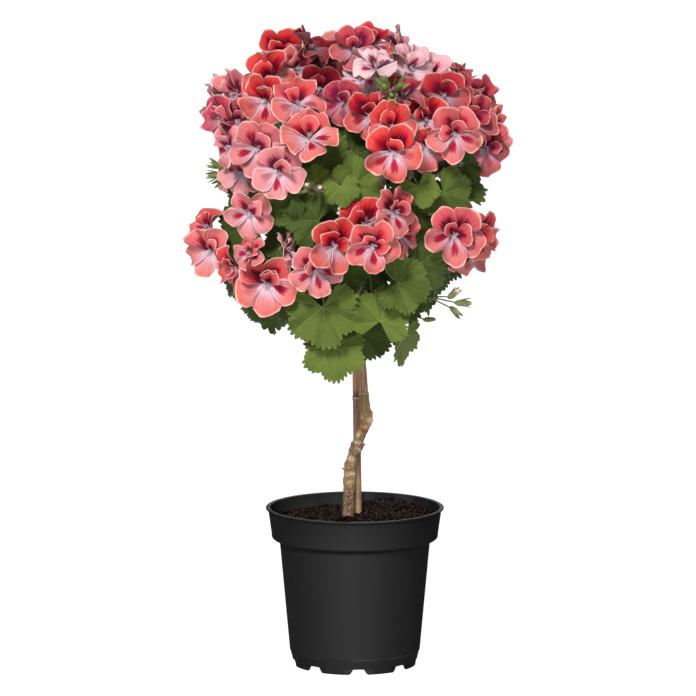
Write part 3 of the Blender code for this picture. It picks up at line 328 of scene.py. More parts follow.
def bloom_sheet(size):
    """Points and triangles of five petals round a throat, facing +Z, with no thickness."""
    radius = BLOOM_RADIUS * size
    points = []
    triangles = [(0, 1, 2), (0, 2, 3), (0, 3, 4)]
    count = len(PETAL_AXES)
    for petal, angle in enumerate(PETAL_AXES):
        before = PETAL_AXES[petal - 1] - (360 if petal == 0 else 0)
        points.append(round_way(math.radians((angle + before) / 2)) * THROAT_RADIUS)
    for petal, angle in enumerate(PETAL_AXES):
        upper = angle < 180
        shoulder = 0.42 if upper else 0.32
        tip = 0.3 if upper else 0.2
        length = radius if upper else radius * 1.06
        way = Matrix.Rotation(math.radians(angle), 3, "Z")
        first = len(points)
        outline = ((0.62, -shoulder, 0.19), (1, -tip, 0.29), (1, tip, 0.22), (0.62, shoulder, 0.24))
        for along, aside, lift in outline:
            points.append(way @ Vector((along * length, aside * length, lift * length)))
        left = petal
        right = (petal + 1) % count
        triangles += [(left, first, right), (first, first + 3, right)]
        triangles += [(first, first + 1, first + 3), (first + 1, first + 2, first + 3)]
    return points, triangles


def leaf_sheet(length):
    """Points and triangles of a lobed, pleated leaf blade with its tip towards -Y."""
    step = LOBE_STEP // 2 if length > FINE_LEAF else LOBE_STEP
    points = [Vector((0, 0, 0))]
    for degrees in range(-LEAF_HALF_SPREAD, LEAF_HALF_SPREAD + 1, step):
        angle = math.radians(degrees)
        lobe = math.cos(math.tau * degrees / (2 * LOBE_STEP))
        tooth = 0.04 if (degrees // step) % 2 else -0.02
        reach = length * (0.62 + 0.38 * math.cos(angle / 2)) * (0.9 + 0.1 * lobe - tooth)
        cup = 0.16 * math.sin(angle) ** 2 - 0.12 * math.cos(angle) ** 2
        rise = length * (cup - 0.05 * lobe)
        points.append(Vector((reach * math.sin(angle), -reach * math.cos(angle), rise)))
    triangles = [(0, at, at + 1) for at in range(1, len(points) - 1)]
    return points, triangles


def sheet_normals(points, triangles):
    """The normal at each point of a sheet."""
    normals = [Vector() for _ in points]
    for a, b, c in triangles:
        normal = (points[b] - points[a]).cross(points[c] - points[a])
        for corner in (a, b, c):
            normals[corner] += normal
    return [normal.normalized() for normal in normals]


def sheet_test(points, triangles, thickness):
    """The two faces of a blade, each pushed out by the clearance, for testing what it touches."""
    off = thickness / 2 + CLEARANCE
    normals = sheet_normals(points, triangles)
    grown = [point + (point - points[0]) * 0.03 for point in points]
    both = [point + normal * off for point, normal in zip(grown, normals)]
    both += [point - normal * off for point, normal in zip(grown, normals)]
    count = len(points)
    return both, triangles + [(a + count, b + count, c + count) for a, b, c in triangles]


def sleeve_test(path, radius):
    """A six-sided sleeve round a path, wider by the clearance, for testing what it touches."""
    reach = (radius + CLEARANCE * 0.6) / math.cos(math.pi / SLEEVE_SIDES)
    side = (path[1] - path[0]).orthogonal().normalized()
    points = []
    faces = []
    for at, middle in enumerate(path):
        way = (path[min(at + 1, len(path) - 1)] - path[max(at - 1, 0)]).normalized()
        side = (side - way * side.dot(way)).normalized()
        other = way.cross(side)
        for step in range(SLEEVE_SIDES):
            angle = math.tau * step / SLEEVE_SIDES
            points.append(middle + (side * math.cos(angle) + other * math.sin(angle)) * reach)
        if at:
            first = SLEEVE_SIDES * (at - 1)
            for step in range(SLEEVE_SIDES):
                beside = (step + 1) % SLEEVE_SIDES
                low = (first + step, first + beside)
                high = (first + SLEEVE_SIDES + beside, first + SLEEVE_SIDES + step)
                faces.append(low + high)
    return points, faces


def joined_tree(tests):
    """One search tree over several test surfaces."""
    points = []
    faces = []
    for some_points, some_faces in tests:
        first = len(points)
        points += some_points
        faces += [tuple(corner + first for corner in face) for face in some_faces]
    return BVHTree.FromPolygons(points, faces)


class Standing:
    """Search trees over everything that already has its place, by owner."""

    def __init__(self):
        self.trees = []

    def add(self, owner, tree):
        self.trees.append((owner, tree))

    def is_clear(self, tree, *own):
        return not any(owner not in own and tree.overlap(other) for owner, other in self.trees)


def placed(points, axes, origin):
    """The points, turned to the axes and moved to the origin."""
    return [origin + axes @ point for point in points]


def bend(start, start_way, end, end_way, count, pull=0.36):
    """Points of a smooth bend that leaves and arrives in the given directions."""
    reach = (end - start).length * pull
    return interpolate_bezier(start, start + start_way * reach, end - end_way * reach, end, count)


def depth_tries():
    """Offsets along the sight line, nearest first."""
    yield 0
    for step in range(1, 13):
        yield 3 * MM * step
        yield -3 * MM * step


def corolla_test(bloom):
    """The bloom's petals, or the bud's body, for testing what they touch."""
    if bloom["bud"]:
        ends = [bloom["at"] + bloom["axes"].col[2] * BUD_LENGTH * bloom["size"] * way for way in (-1, 1)]
        return sleeve_test(ends, BUD_LENGTH * bloom["size"] * 0.45)
    points, triangles = bloom_sheet(bloom["size"])
    return sheet_test(placed(points, bloom["axes"], bloom["at"]), triangles, PETAL_THICKNESS)


def pedicel_path(bloom, hub):
    """A bloom's stalk from the hub to the throat, with an elbow where the bloom looks back."""
    out = bloom["axes"].col[2]
    neck = bloom["at"] - out * CALYX_LENGTH
    back = (hub - neck).normalized()
    root = hub - back * ROOT_OFFSET
    if back.dot(out) < ELBOW_FROM:
        return [root, neck, bloom["at"]]
    return [root, neck + (back - out).normalized() * ELBOW_REACH, neck, bloom["at"]]


def bloom_tests(bloom, hub):
    """Search trees over the bloom and over its stalk."""
    stalk = sleeve_test(pedicel_path(bloom, hub)[:-1], PEDICEL_RADIUS)
    return joined_tree((corolla_test(bloom),)), joined_tree((stalk,))


def plan_heads():
    """Rough places of all heads: the ones seen from the front, then those at the back by rule."""
    heads = []
    for name, rows in HEADS.items():
        blooms = []
        for number, (across, up, nearer, turn, tilt, size) in enumerate(rows):
            at = on_crown(across * MM, up * MM, nearer * MM)
            roll = 9 * math.sin(37 * (number + 1) + ord(name))
            bud = size <= BUD_SIZE
            blooms.append({"at": at, "axes": facing(turn, tilt, roll), "size": size, "bud": bud})
        heads.append({"name": name, "blooms": blooms})
    step = (BACK_TURNS[1] - BACK_TURNS[0]) / (BACK_HEADS - 1)
    places = [(BACK_TURNS[0] + step * number, BACK_TILTS[number % 2]) for number in range(BACK_HEADS)]
    for number, (turn, tilt) in enumerate(places + [TOP_HEAD]):
        axes = facing(turn, tilt, BACK_ROLL * number)
        out = axes.col[2]
        reach = Vector(tuple(a * b for a, b in zip(out, CROWN_REACH)))
        middle = CROWN_CENTRE + reach * 0.97
        blooms = []
        for petal in range(BACK_BLOOMS):
            aside = axes @ round_way(math.tau * petal / BACK_BLOOMS)
            at = middle + aside * BACK_SPREAD
            lean = axes_about(leant(out, aside, BACK_LEAN))
            blooms.append({"at": at, "axes": lean, "size": BACK_SIZE, "bud": False})
        heads.append({"name": f"r{number}", "blooms": blooms})
    return heads


def set_heads(standing):
    """Give every bloom a clear place, and each head the point from which its stalks spread."""
    heads = plan_heads()
    for head in heads:
        blooms = head["blooms"]
        middle = sum((bloom["at"] for bloom in blooms), Vector()) / len(blooms)
        out = sum((bloom["axes"].col[2] for bloom in blooms), Vector()).normalized()
        inward = (CROWN_HEART - middle).normalized()
        head["hub"] = middle + (inward * 0.7 - out * 0.5).normalized() * HUB_DEPTH
        head["out"] = (head["hub"] - CROWN_HEART).normalized()
        head["stalks"] = head["name"] + "_stalks"
        for bloom in blooms:
            settle_bloom(bloom, head, standing)
    return heads


def bloom_tries(bloom, head):
    """Ever smaller forms of a bloom, each at several depths, with the owners that it may touch."""
    wanted = bloom["at"]
    full = bloom["size"]
    out = bloom["axes"].col[2]
    line = SIGHT_LINE if out.y < 0.3 else out
    for may_touch in ((), (head["name"], head["stalks"])):
        for share in BLOOM_SHARES:
            bloom["size"] = full * share
            for offset in depth_tries():
                bloom["at"] = wanted + line * offset
                yield may_touch


def settle_bloom(bloom, head, standing):
    """Find a place for a bloom and its stalk that is clear of all other heads."""
    for may_touch in bloom_tries(bloom, head):
        corolla, stalk = bloom_tests(bloom, head["hub"])
        if standing.is_clear(corolla, *may_touch) and standing.is_clear(stalk, head["stalks"], *may_touch):
            break
    standing.add(head["name"], corolla)
    standing.add(head["stalks"], stalk)


def hub_ends(head):
    """The ends of the short stem from which a head's stalks spread."""
    half = head["out"] * HUB_LENGTH / 2
    return [head["hub"] - half, head["hub"] + half]


def stump_axis(azimuth, climb):
    """The direction that climbs outwards from the trunk."""
    level = math.cos(climb)
    return Vector((math.cos(azimuth) * level, math.sin(azimuth) * level, math.sin(climb)))


def plan_branches(heads):
    """One green branch for each head, and low shoots that carry only leaves, lowest first."""
    plans = []
    for head in heads:
        name = f"branch_{head['name']}"
        plans.append({"name": name, "to": head["hub"], "out": head["out"], "head": head})
    for number, (azimuth, reach, height) in enumerate(LOW_SHOOTS):
        out = stump_axis(math.radians(azimuth), math.radians(20))
        to = Vector((CROWN_HEART.x, CROWN_HEART.y, height * MM)) + Vector((out.x, out.y, 0)) * reach * MM
        plans.append({"name": f"leaf_shoot_{number}", "to": to, "out": out, "head": None})
    plans.sort(key=lambda plan: plan["to"].z)
    for number, plan in enumerate(plans):
        plan["height"] = STUMP_LOW + (STUMP_HIGH - STUMP_LOW) * number / (len(plans) - 1)
    return plans


def leaning(out):
    """The direction itself, then directions that lean away from it to all sides."""
    yield out
    axes = axes_about(out)
    for lean in (20, 40, 60):
        for turn in range(0, 360, 60):
            away = axes @ round_way(math.radians(turn))
            yield leant(out, away, math.radians(lean))


def stump_tries(plan):
    """Places for a branch's stump, those nearest to the wanted height and direction first."""
    tries = []
    for level in range(STUMP_LEVELS):
        height = STUMP_LOW + (STUMP_HIGH - STUMP_LOW) * level / (STUMP_LEVELS - 1)
        for swing in range(-100, 101, 20):
            for climb in (30, 50):
                cost = abs(height - plan["height"]) / (20 * MM) + abs(swing) / 40 + abs(climb - 30) / 100
                tries.append((cost, height, swing, climb))
    tries.sort()
    for _, height, swing, climb in tries:
        middle, radius = trunk_point(height)
        away = plan["to"] - middle
        azimuth = math.atan2(away.y, away.x) + math.radians(swing)
        axis = stump_axis(azimuth, math.radians(climb))
        yield middle, middle + axis * radius, axis, middle + axis * (radius + STUMP_LENGTH)


def bend_tries(plan, axis, stump_end):
    """Bends from a stump to the branch's head, the plainest first."""
    for out in leaning(plan["out"]):
        end = plan["to"]
        if plan["head"]:
            end = end - out * (HUB_LENGTH / 2 + BUTT_GAP)
            stalks = [(bloom["at"] - plan["to"]).normalized() for bloom in plan["head"]["blooms"]]
            if min(stalk.dot(out) for stalk in stalks) < LEAST_FORWARD:
                continue
        start = stump_end + axis * BUTT_GAP
        low = start + axis * STRAIGHT_END
        high = end - out * STRAIGHT_END
        for pull in (0.36, 0.22, 0.5):
            yield out, [start] + bend(low, axis, high, out, BRANCH_POINTS, pull) + [end]


def settle_branch(plan, standing):
    """Find a stump and a bend that are clear of everything; True if there are any."""
    head = plan["head"]
    for middle, bark, axis, stump_end in stump_tries(plan):
        stump = joined_tree((sleeve_test([bark, stump_end], STUMP_RADIUS),))
        if not standing.is_clear(stump, "trunk"):
            continue
        for out, path in bend_tries(plan, axis, stump_end):
            stem = joined_tree((sleeve_test(path, BRANCH_RADIUS),))
            if not standing.is_clear(stem, head["stalks"] if head else None):
                continue
            plan.update({"middle": middle, "stump_end": stump_end, "out": out, "path": path})
            standing.add(plan["name"] + "_stump", stump)
            standing.add(plan["name"], stem)
            return True
    return False


def set_branches(heads, standing):
    """Give every branch its stump on the trunk and a clear bend to its head."""
    branches = []
    for plan in plan_branches(heads):
        if not settle_branch(plan, standing):
            continue
        plan["leaves"] = []
        head = plan["head"]
        if head:
            head["out"] = plan["out"]
            standing.add(head["name"], joined_tree((sleeve_test(hub_ends(head), HUB_RADIUS),)))
        branches.append(plan)
    return branches


def plan_leaves():
    """Leaves of the front view, then those at the back by rule."""
    leaves = []
    for across, up, nearer, turn, tilt, roll, length, tone in LEAVES:
        at = on_crown(across * MM, up * MM, nearer * MM)
        axes = facing(turn, tilt, roll)
        leaves.append({"at": at, "axes": axes, "length": length * MM, "line": SIGHT_LINE, "tone": tone})
    draw = random.Random(SEED)
    for number in range(BACK_LEAVES):
        turn = 180 + (number * 137.5 % 210) - 105
        tilt = 40 - 90 * (number + 0.5) / BACK_LEAVES
        out = facing(turn, tilt).col[2]
        reach = Vector(tuple(a * b for a, b in zip(out, CROWN_REACH)))
        at = CROWN_CENTRE + reach * draw.uniform(0.72, 0.86)
        axes = facing(turn + draw.uniform(-20, 20), tilt * 0.4 + 10, draw.uniform(-50, 50))
        length = draw.uniform(38, 48) * MM
        leaves.append({"at": at, "axes": axes, "length": length, "line": out, "tone": None})
    return leaves


def petiole_path(root, along, leaf):
    """The leaf stalk from its root to the blade, which it meets from behind."""
    up, out = leaf["axes"].col[1], leaf["axes"].col[2]
    arrive = (out * 0.45 - up * 0.75).normalized()
    leave = ((leaf["at"] - root).normalized() + along * 0.5).normalized()
    points = leaf_sheet(leaf["length"])[0]
    middle = len(points) // 2
    foot = leaf["at"] + leaf["axes"] @ (points[middle] + points[middle + 1]) * PETIOLE_SEAT / 2
    return bend(root, leave, foot, arrive, PETIOLE_POINTS, 0.3)


def roots_near(leaf, branches):
    """Places on the branches where the leaf's stalk could start, nearest first."""
    roots = []
    for branch in branches:
        path = branch["path"]
        for at in range(1, len(path) - 1):
            distance = (path[at] - leaf["at"]).length
            if PETIOLE_LEAST < distance < PETIOLE_MOST:
                roots.append((distance, branch["name"], at, branch))
    roots.sort(key=lambda root: root[:3])
    return [root[1:] for root in roots[:ROOTS_TRIED]]


def leaf_tries(leaf):
    """Ever smaller and more tilted forms of a leaf, each at several depths."""
    wanted = leaf["at"]
    full = leaf["length"]
    axes = leaf["axes"]
    for share, nod in LEAF_TRIES:
        leaf["length"] = full * share
        leaf["axes"] = axes @ Matrix.Rotation(math.radians(nod), 3, "X")
        points, triangles = leaf_sheet(leaf["length"])
        for offset in depth_tries():
            leaf["at"] = wanted + leaf["line"] * offset
            yield points, triangles


def settle_leaf(name, leaf, branches, standing):
    """Find a clear place for the leaf and a clear stalk to a branch, if there are any."""
    for points, triangles in leaf_tries(leaf):
        sheet = sheet_test(placed(points, leaf["axes"], leaf["at"]), triangles, BLADE_THICKNESS)
        blade = joined_tree((sheet,))
        if not standing.is_clear(blade):
            continue
        for owner, at, branch in roots_near(leaf, branches):
            path = branch["path"]
            along = (path[at + 1] - path[at]).normalized()
            stalk = petiole_path(path[at], along, leaf)
            tree = joined_tree((sleeve_test(stalk, PETIOLE_RADIUS),))
            if standing.is_clear(tree, owner):
                leaf["stalk"] = stalk
                branch["leaves"].append(leaf)
                standing.add(name, blade)
                standing.add(name, tree)
                return


def head_name(head):
    return f"bloom_head_{head['name']}"


def woody_tests():
    """Search trees over the trunk and the cane."""
    points, radii = trunk_route()
    trunk = joined_tree((sleeve_test(points[1:], max(radii[9:])),))
    cane = joined_tree((sleeve_test([CANE_FOOT, CANE_TOP], CANE_NODE_RADIUS),))
    return trunk, cane


# Camera
CAMERA_TARGET = Vector((-7.3, 0, 341)) * MM
CAMERA_DISTANCE = 7.0
CAMERA_ELEVATION = math.radians(8.8)
CAMERA_LENS = 341

# Light: suns with the place that they shine from, power and spread (degrees), and beams with their
# place and power, all aimed at one target and as wide there as their reach
WORLD_LIGHT = 0.11
SUNS = (
    ("key", (-0.30, -1.0, 0.80), 4.3, 12),
    ("fill", (0.20, -1.0, 0.15), 0.9, 60),
    ("back", (0.30, 1.0, 0.60), 2.0, 30),
)
BEAMS = (("pot", (-0.16, -4.0, 0.70), 1250), ("pot_back", (0.40, 3.5, 2.0), 550))
BEAM_TARGET = (0, 0, 0.07)
BEAM_REACH = 0.132

# Fineness of the grids
PETAL_ROWS, PETAL_COLUMNS = 12, 14
INNER_ROWS, INNER_COLUMNS = 9, 11
LEAFLET_ROWS = 5
LEAF_RINGS = 9
LEAF_STEP = 2.0
TRUNK_STEPS, TRUNK_SIDES = 12, 48
CANE_RINGS = 90
POT_SIDES = 120
SOIL_RINGS, SOIL_SIDES = 44, 130

# Petals: half-width and length against the bloom's radius, for the upper and the lower ones
UPPER_PETAL = (0.52, 1.05)
LOWER_PETAL = (0.47, 1.08)
# Their form against their length, each as its least and its most: the rise of an upper and of a
# lower one, the fold at the sides, the curl at the tip and the ruffle. Then the most twist
UPPER_RISE = (0.34, 0.60)
LOWER_RISE = (0.20, 0.50)
PETAL_FOLD = (-0.08, 0.46)
PETAL_CURL = (-0.46, 0.10)
PETAL_RUFFLE = (0.065, 0.150)
PETAL_TWIST = 0.27
# Depths of the dents in the petals' rims, and of the fine ruffles and ribs
RIM_DENTS = (0.030, 0.012)
FINE_RUFFLE = 0.016
PETAL_RIBS = 0.012
# Small inner petals: length and width, and how steeply they stand (degrees)
INNER_REACH = (0.56, 0.74)
INNER_WIDTH = (0.48, 0.58)
INNER_LIFT = (18, 34)

# Thickness of the fine blades, and sizes of anthers and hairs
PETAL_SKIN = 0.45 * MM
LEAF_SKIN = 0.55 * MM
LEAFLET_SKIN = 0.35 * MM
ANTHER_RADIUS = 0.55 * MM
HAIR_LENGTH = 0.9 * MM
HAIR_RADII = (0.09 * MM, 0.03 * MM)

# Leaves: one tooth's outline, then the depths of teeth and pleats against the leaf's length
SAW = (0.0, 0.75, 1.0, 0.7)
TOOTH_DEPTH = 0.085
PLEAT_DEPTH = 0.072
# The least and the most of a tooth's size against the usual one, of the broad and the fine waves
# of a leaf's rim, of its droop and of its slant to one side
TOOTH_SIZES = (0.45, 1.65)
BROAD_WAVES = (0.050, 0.100)
FINE_WAVES = (0.018, 0.032)
LEAF_DROOP = (-0.14, 0.08)
LEAF_SLANT = (-0.05, 0.05)

# Crumbs on the soil and round the foot of trunk and cane, and their sizes (mm)
CRUMBS = 1700
FOOT_CRUMBS = 130
CRUMB_SIZES = (0.6, 0.8, 0.9, 1.2, 1.5, 2.2)

# Pot: points closer than this are one, and edges sharper than this show as edges
WELD_DISTANCE = 1e-5
SHARP_ANGLE = math.radians(32)

# Tints of single blooms: how pale, how dark with painted shade, and how magenta, from 0 to 1
TINTS = {
    "a": {0: (0, 0.25, 0), 1: (0, 0.1, 0), 2: (0, 1, 0), 3: (0.2, 0.1, 0)},
    "b": {0: (0, 0.15, 0), 1: (0.3, 0, 0.2), 3: (0.1, 0, 0), 4: (0.25, 0, 0)},
    "c": {0: (0.1, 0.2, 0.8), 1: (0.9, 0, 0.3), 2: (0.4, 0, 0.2), 3: (0.2, 0.3, 0.3)},
    "d": {0: (0.25, 0.1, 0.1), 1: (0.4, 0, 0), 2: (0.35, 0, 0.1)},
    "e": {0: (0.1, 0.35, 0.3), 1: (0, 0.2, 0.2), 2: (0, 1, 0), 3: (0, 1, 0), 4: (0.1, 0.4, 0.6)},
    "f": {0: (0.95, 0, 0.10), 1: (0.85, 0, 0.2), 2: (0.6, 0.2, 0.4), 3: (0.8, 0, 0.3),
          4: (0.1, 0.6, 0.3), 7: (0.95, 0, 0.15)},
    "g": {0: (0, 0, 0), 1: (0, 0.15, 0), 2: (0, 0.3, 0), 3: (0, 0.1, 0)},
    "h": {0: (0, 0.5, 0.2), 1: (0.1, 0.8, 0.1), 2: (0.1, 0.4, 0.2), 3: (0.2, 0.5, 0.2)},
    "i": {0: (0.15, 0.1, 0.1), 1: (0.1, 0.5, 0.3), 2: (0.15, 0.3, 0.3)},
    "j": {0: (0.3, 0, 0.1)},
    "l": {0: (0.1, 0, 0), 1: (0.6, 0, 0.2)},
    "m": {1: (0, 0.2, 0)},
    "n": {0: (0.1, 0, 0), 1: (0, 0.2, 0)},
    "o": {1: (0.1, 0.2, 0)},
}

# How far the sepals of a head's buds spread
BUD_SPREADS = {"f": 0.6, "t": 0.5, "p": 0.3, "s": 0.35}

# Knots on the trunk: height, turn from the right-hand side, lift, half height, half width in
# degrees and how light. The front is at -90
KNOTS = (
    (272.0, -15, 1.6, 2.2, 24, 0.3), (265.5, -45, 1.7, 3.0, 36, 1.0), (260.5, -20, 1.1, 1.6, 40, 0.9),
    (268.0, -140, 0.8, 3.0, 30, 0.7), (258.5, -80, 0.7, 1.3, 40, 0.6), (248.0, -135, 1.3, 3.4, 34, 1.0),
    (241.0, -110, 0.7, 1.6, 40, 0.8), (234.5, -45, 1.1, 2.0, 34, 0.9), (231.0, 180, 0.9, 3.0, 30, 0.2),
    (223.0, -100, 1.2, 2.4, 34, 1.0), (216.5, -175, 1.0, 2.6, 30, 0.3), (207.5, -62, 1.3, 2.3, 30, 1.0),
    (206.0, -115, 0.9, 1.4, 26, 0.9), (201.0, -160, 0.8, 2.0, 26, 0.4), (199.0, -80, 0.6, 1.2, 46, 0.5),
    (212.0, 60, 1.2, 4.0, 40, 0.4), (243.0, 100, 1.1, 5.0, 40, 0.4), (268.0, 90, 1.2, 4.0, 40, 0.5),
)
# Rings round the trunk: height, lift, half height and how pale
TRUNK_RINGS = (
    (293.4, 0.7, 0.9, 0.55), (236.5, 0.5, 0.9, 0.25), (196.0, 0.35, 0.7, 0.2), (189.0, 0.35, 0.6, 0.3),
    (177.0, 0.2, 0.6, 0.1),
)


def unit(vectors):
    """The vectors of an array, each at length one."""
    return vectors / np.maximum(np.linalg.norm(vectors, axis=-1, keepdims=True), 1e-12)


class Sheaf:
    """Grids of points that become one mesh, with marks at each point for the materials."""

    def __init__(self):
        self.points = []
        self.faces = []
        self.slots = []
        self.marks = {}
        self.count = 0

    def grid(self, points, place=(0, 0, 0), tint=(0, 0, 0), slot=0, closed=False, flip=False):
        """Add a grid of points, with its place on the piece and its tint, three numbers each."""
        rows, columns = points.shape[:2]
        index = self.count + np.arange(rows * columns).reshape(rows, columns)
        if closed:
            index = np.concatenate([index, index[:, :1]], axis=1)
        quads = np.stack([index[:-1, :-1], index[:-1, 1:], index[1:, 1:], index[1:, :-1]], axis=-1)
        quads = quads.reshape(-1, 4)
        if flip:
            quads = quads[:, ::-1]
        self.points.append(points.reshape(-1, 3))
        self.faces.append(quads)
        self.slots.append(np.full(len(quads), slot, np.int32))
        self.mark(points, place=place, tint=tint)
        self.count += rows * columns

    def mark(self, points, **marks):
        """Keep the marks of a grid of points."""
        for title, mark in marks.items():
            self.marks.setdefault(title, []).append(np.broadcast_to(mark, points.shape).reshape(-1, 3))

    def blade(self, middle, skin, place, tint, slots=(0, 1)):
        """Add a thin sheet as a front, a back and a rim. A point's third place is 0 at the rim."""
        across = np.gradient(middle, axis=1)
        along = np.gradient(middle, axis=0)
        normal = unit(np.cross(along, across))
        front = middle + normal * skin / 2
        back = middle - normal * skin / 2
        self.grid(front, place, tint, slots[0], flip=True)
        self.grid(back, place, tint, slots[1])
        around = [np.s_[:, 0], np.s_[-1, :], np.s_[::-1, -1]]
        edge = [np.concatenate([side[part] for part in around]) for side in (front, back)]
        marks = np.concatenate([place[part] for part in around])
        self.grid(np.stack(edge), np.stack([marks, marks]), tint, slots[0])

    def tube(self, path, radii, sides, tint=(0, 0, 0), end=1.0):
        """Add a round stem, closed at both ends. Its place goes from 0 to end, then round it."""
        path = np.asarray(path, float)
        radii = np.broadcast_to(np.asarray(radii, float), (len(path),))
        way = unit(np.gradient(path, axis=0))
        aside = np.cross(way[0], (0.3, 0.2, 1.0))
        side = []
        for step in way:
            aside = unit(aside - step * np.dot(aside, step))
            side.append(aside)
        other = np.cross(way, side)
        angle = np.linspace(0, math.tau, sides, endpoint=False)
        ring = np.array(side)[:, None] * np.cos(angle)[:, None] + other[:, None] * np.sin(angle)[:, None]
        points = path[:, None] + ring * radii[:, None, None]
        caps = path[[0, -1], None] + ring[[0, -1]] * 1e-6
        along = np.linspace(0.0, end, len(path))
        place = np.zeros((len(path) + 2, sides, 3))
        place[..., 0] = np.concatenate([along[:1], along, along[-1:]])[:, None]
        place[..., 1] = angle / math.tau
        self.grid(np.concatenate([caps[:1], points, caps[1:]]), place, tint, closed=True)

    def build(self, name, materials):
        """Make the mesh object, which rides on the plant's one body."""
        points = np.concatenate(self.points).astype(np.float32)
        faces = np.concatenate(self.faces).astype(np.int32)
        mesh = bpy.data.meshes.new(name)
        mesh.vertices.add(len(points))
        mesh.vertices.foreach_set("co", points.ravel())
        mesh.loops.add(faces.size)
        mesh.loops.foreach_set("vertex_index", faces.ravel())
        mesh.polygons.add(len(faces))
        mesh.polygons.foreach_set("loop_start", np.arange(0, faces.size, 4, dtype=np.int32))
        mesh.polygons.foreach_set("material_index", np.concatenate(self.slots))
        for title, marks in self.marks.items():
            layer = mesh.attributes.new(title, "FLOAT_VECTOR", "POINT")
            layer.data.foreach_set("vector", np.concatenate(marks).astype(np.float32).ravel())
        mesh.update()
        mesh.validate()
        mesh.shade_smooth()
        for material in materials:
            mesh.materials.append(material)
        piece = bpy.data.objects.new(name, mesh)
        bpy.context.scene.collection.objects.link(piece)
        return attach(piece, "root")


class PetalSheaf(Sheaf):
    """A sheaf whose points also carry their petal's rank, tone and seed."""

    petal = (0.0, 0.0, 0.0)

    def grid(self, points, *values, **options):
        super().grid(points, *values, **options)
        self.mark(points, petal=self.petal)


def smooth_path(points, steps):
    """Points of a smooth line through the given ones."""
    points = np.array([tuple(point) for point in points], float)
    ends = np.concatenate([[2 * points[0] - points[1]], points, [2 * points[-1] - points[-2]]])
    line = []
    for at in range(len(points) - 1):
        a, b, c, d = ends[at:at + 4]
        for step in range(steps):
            t = step / steps
            line.append(0.5 * (2 * b + (c - a) * t + (2 * a - 5 * b + 4 * c - d) * t * t
                               + (3 * b - a - 3 * c + d) * t ** 3))
    line.append(points[-1])
    return np.array(line)


def turn_array(axes):
    """A rotation as an array that turns rows of points."""
    return np.array(axes.transposed())


class Value:
    """What a node gives out, with the sums that further nodes make of it."""

    def __init__(self, paint, socket):
        self.paint = paint
        self.socket = socket

    def __add__(self, other):
        return self.paint.math("ADD", self, other)

    def __radd__(self, other):
        return self.paint.math("ADD", other, self)

    def __sub__(self, other):
        return self.paint.math("SUBTRACT", self, other)

    def __rsub__(self, other):
        return self.paint.math("SUBTRACT", other, self)

    def __mul__(self, other):
        return self.paint.math("MULTIPLY", self, other)

    def __truediv__(self, other):
        return self.paint.math("DIVIDE", self, other)

    def __pow__(self, other):
        return self.paint.math("POWER", self, other)

    def __abs__(self):
        return self.paint.math("ABSOLUTE", self)


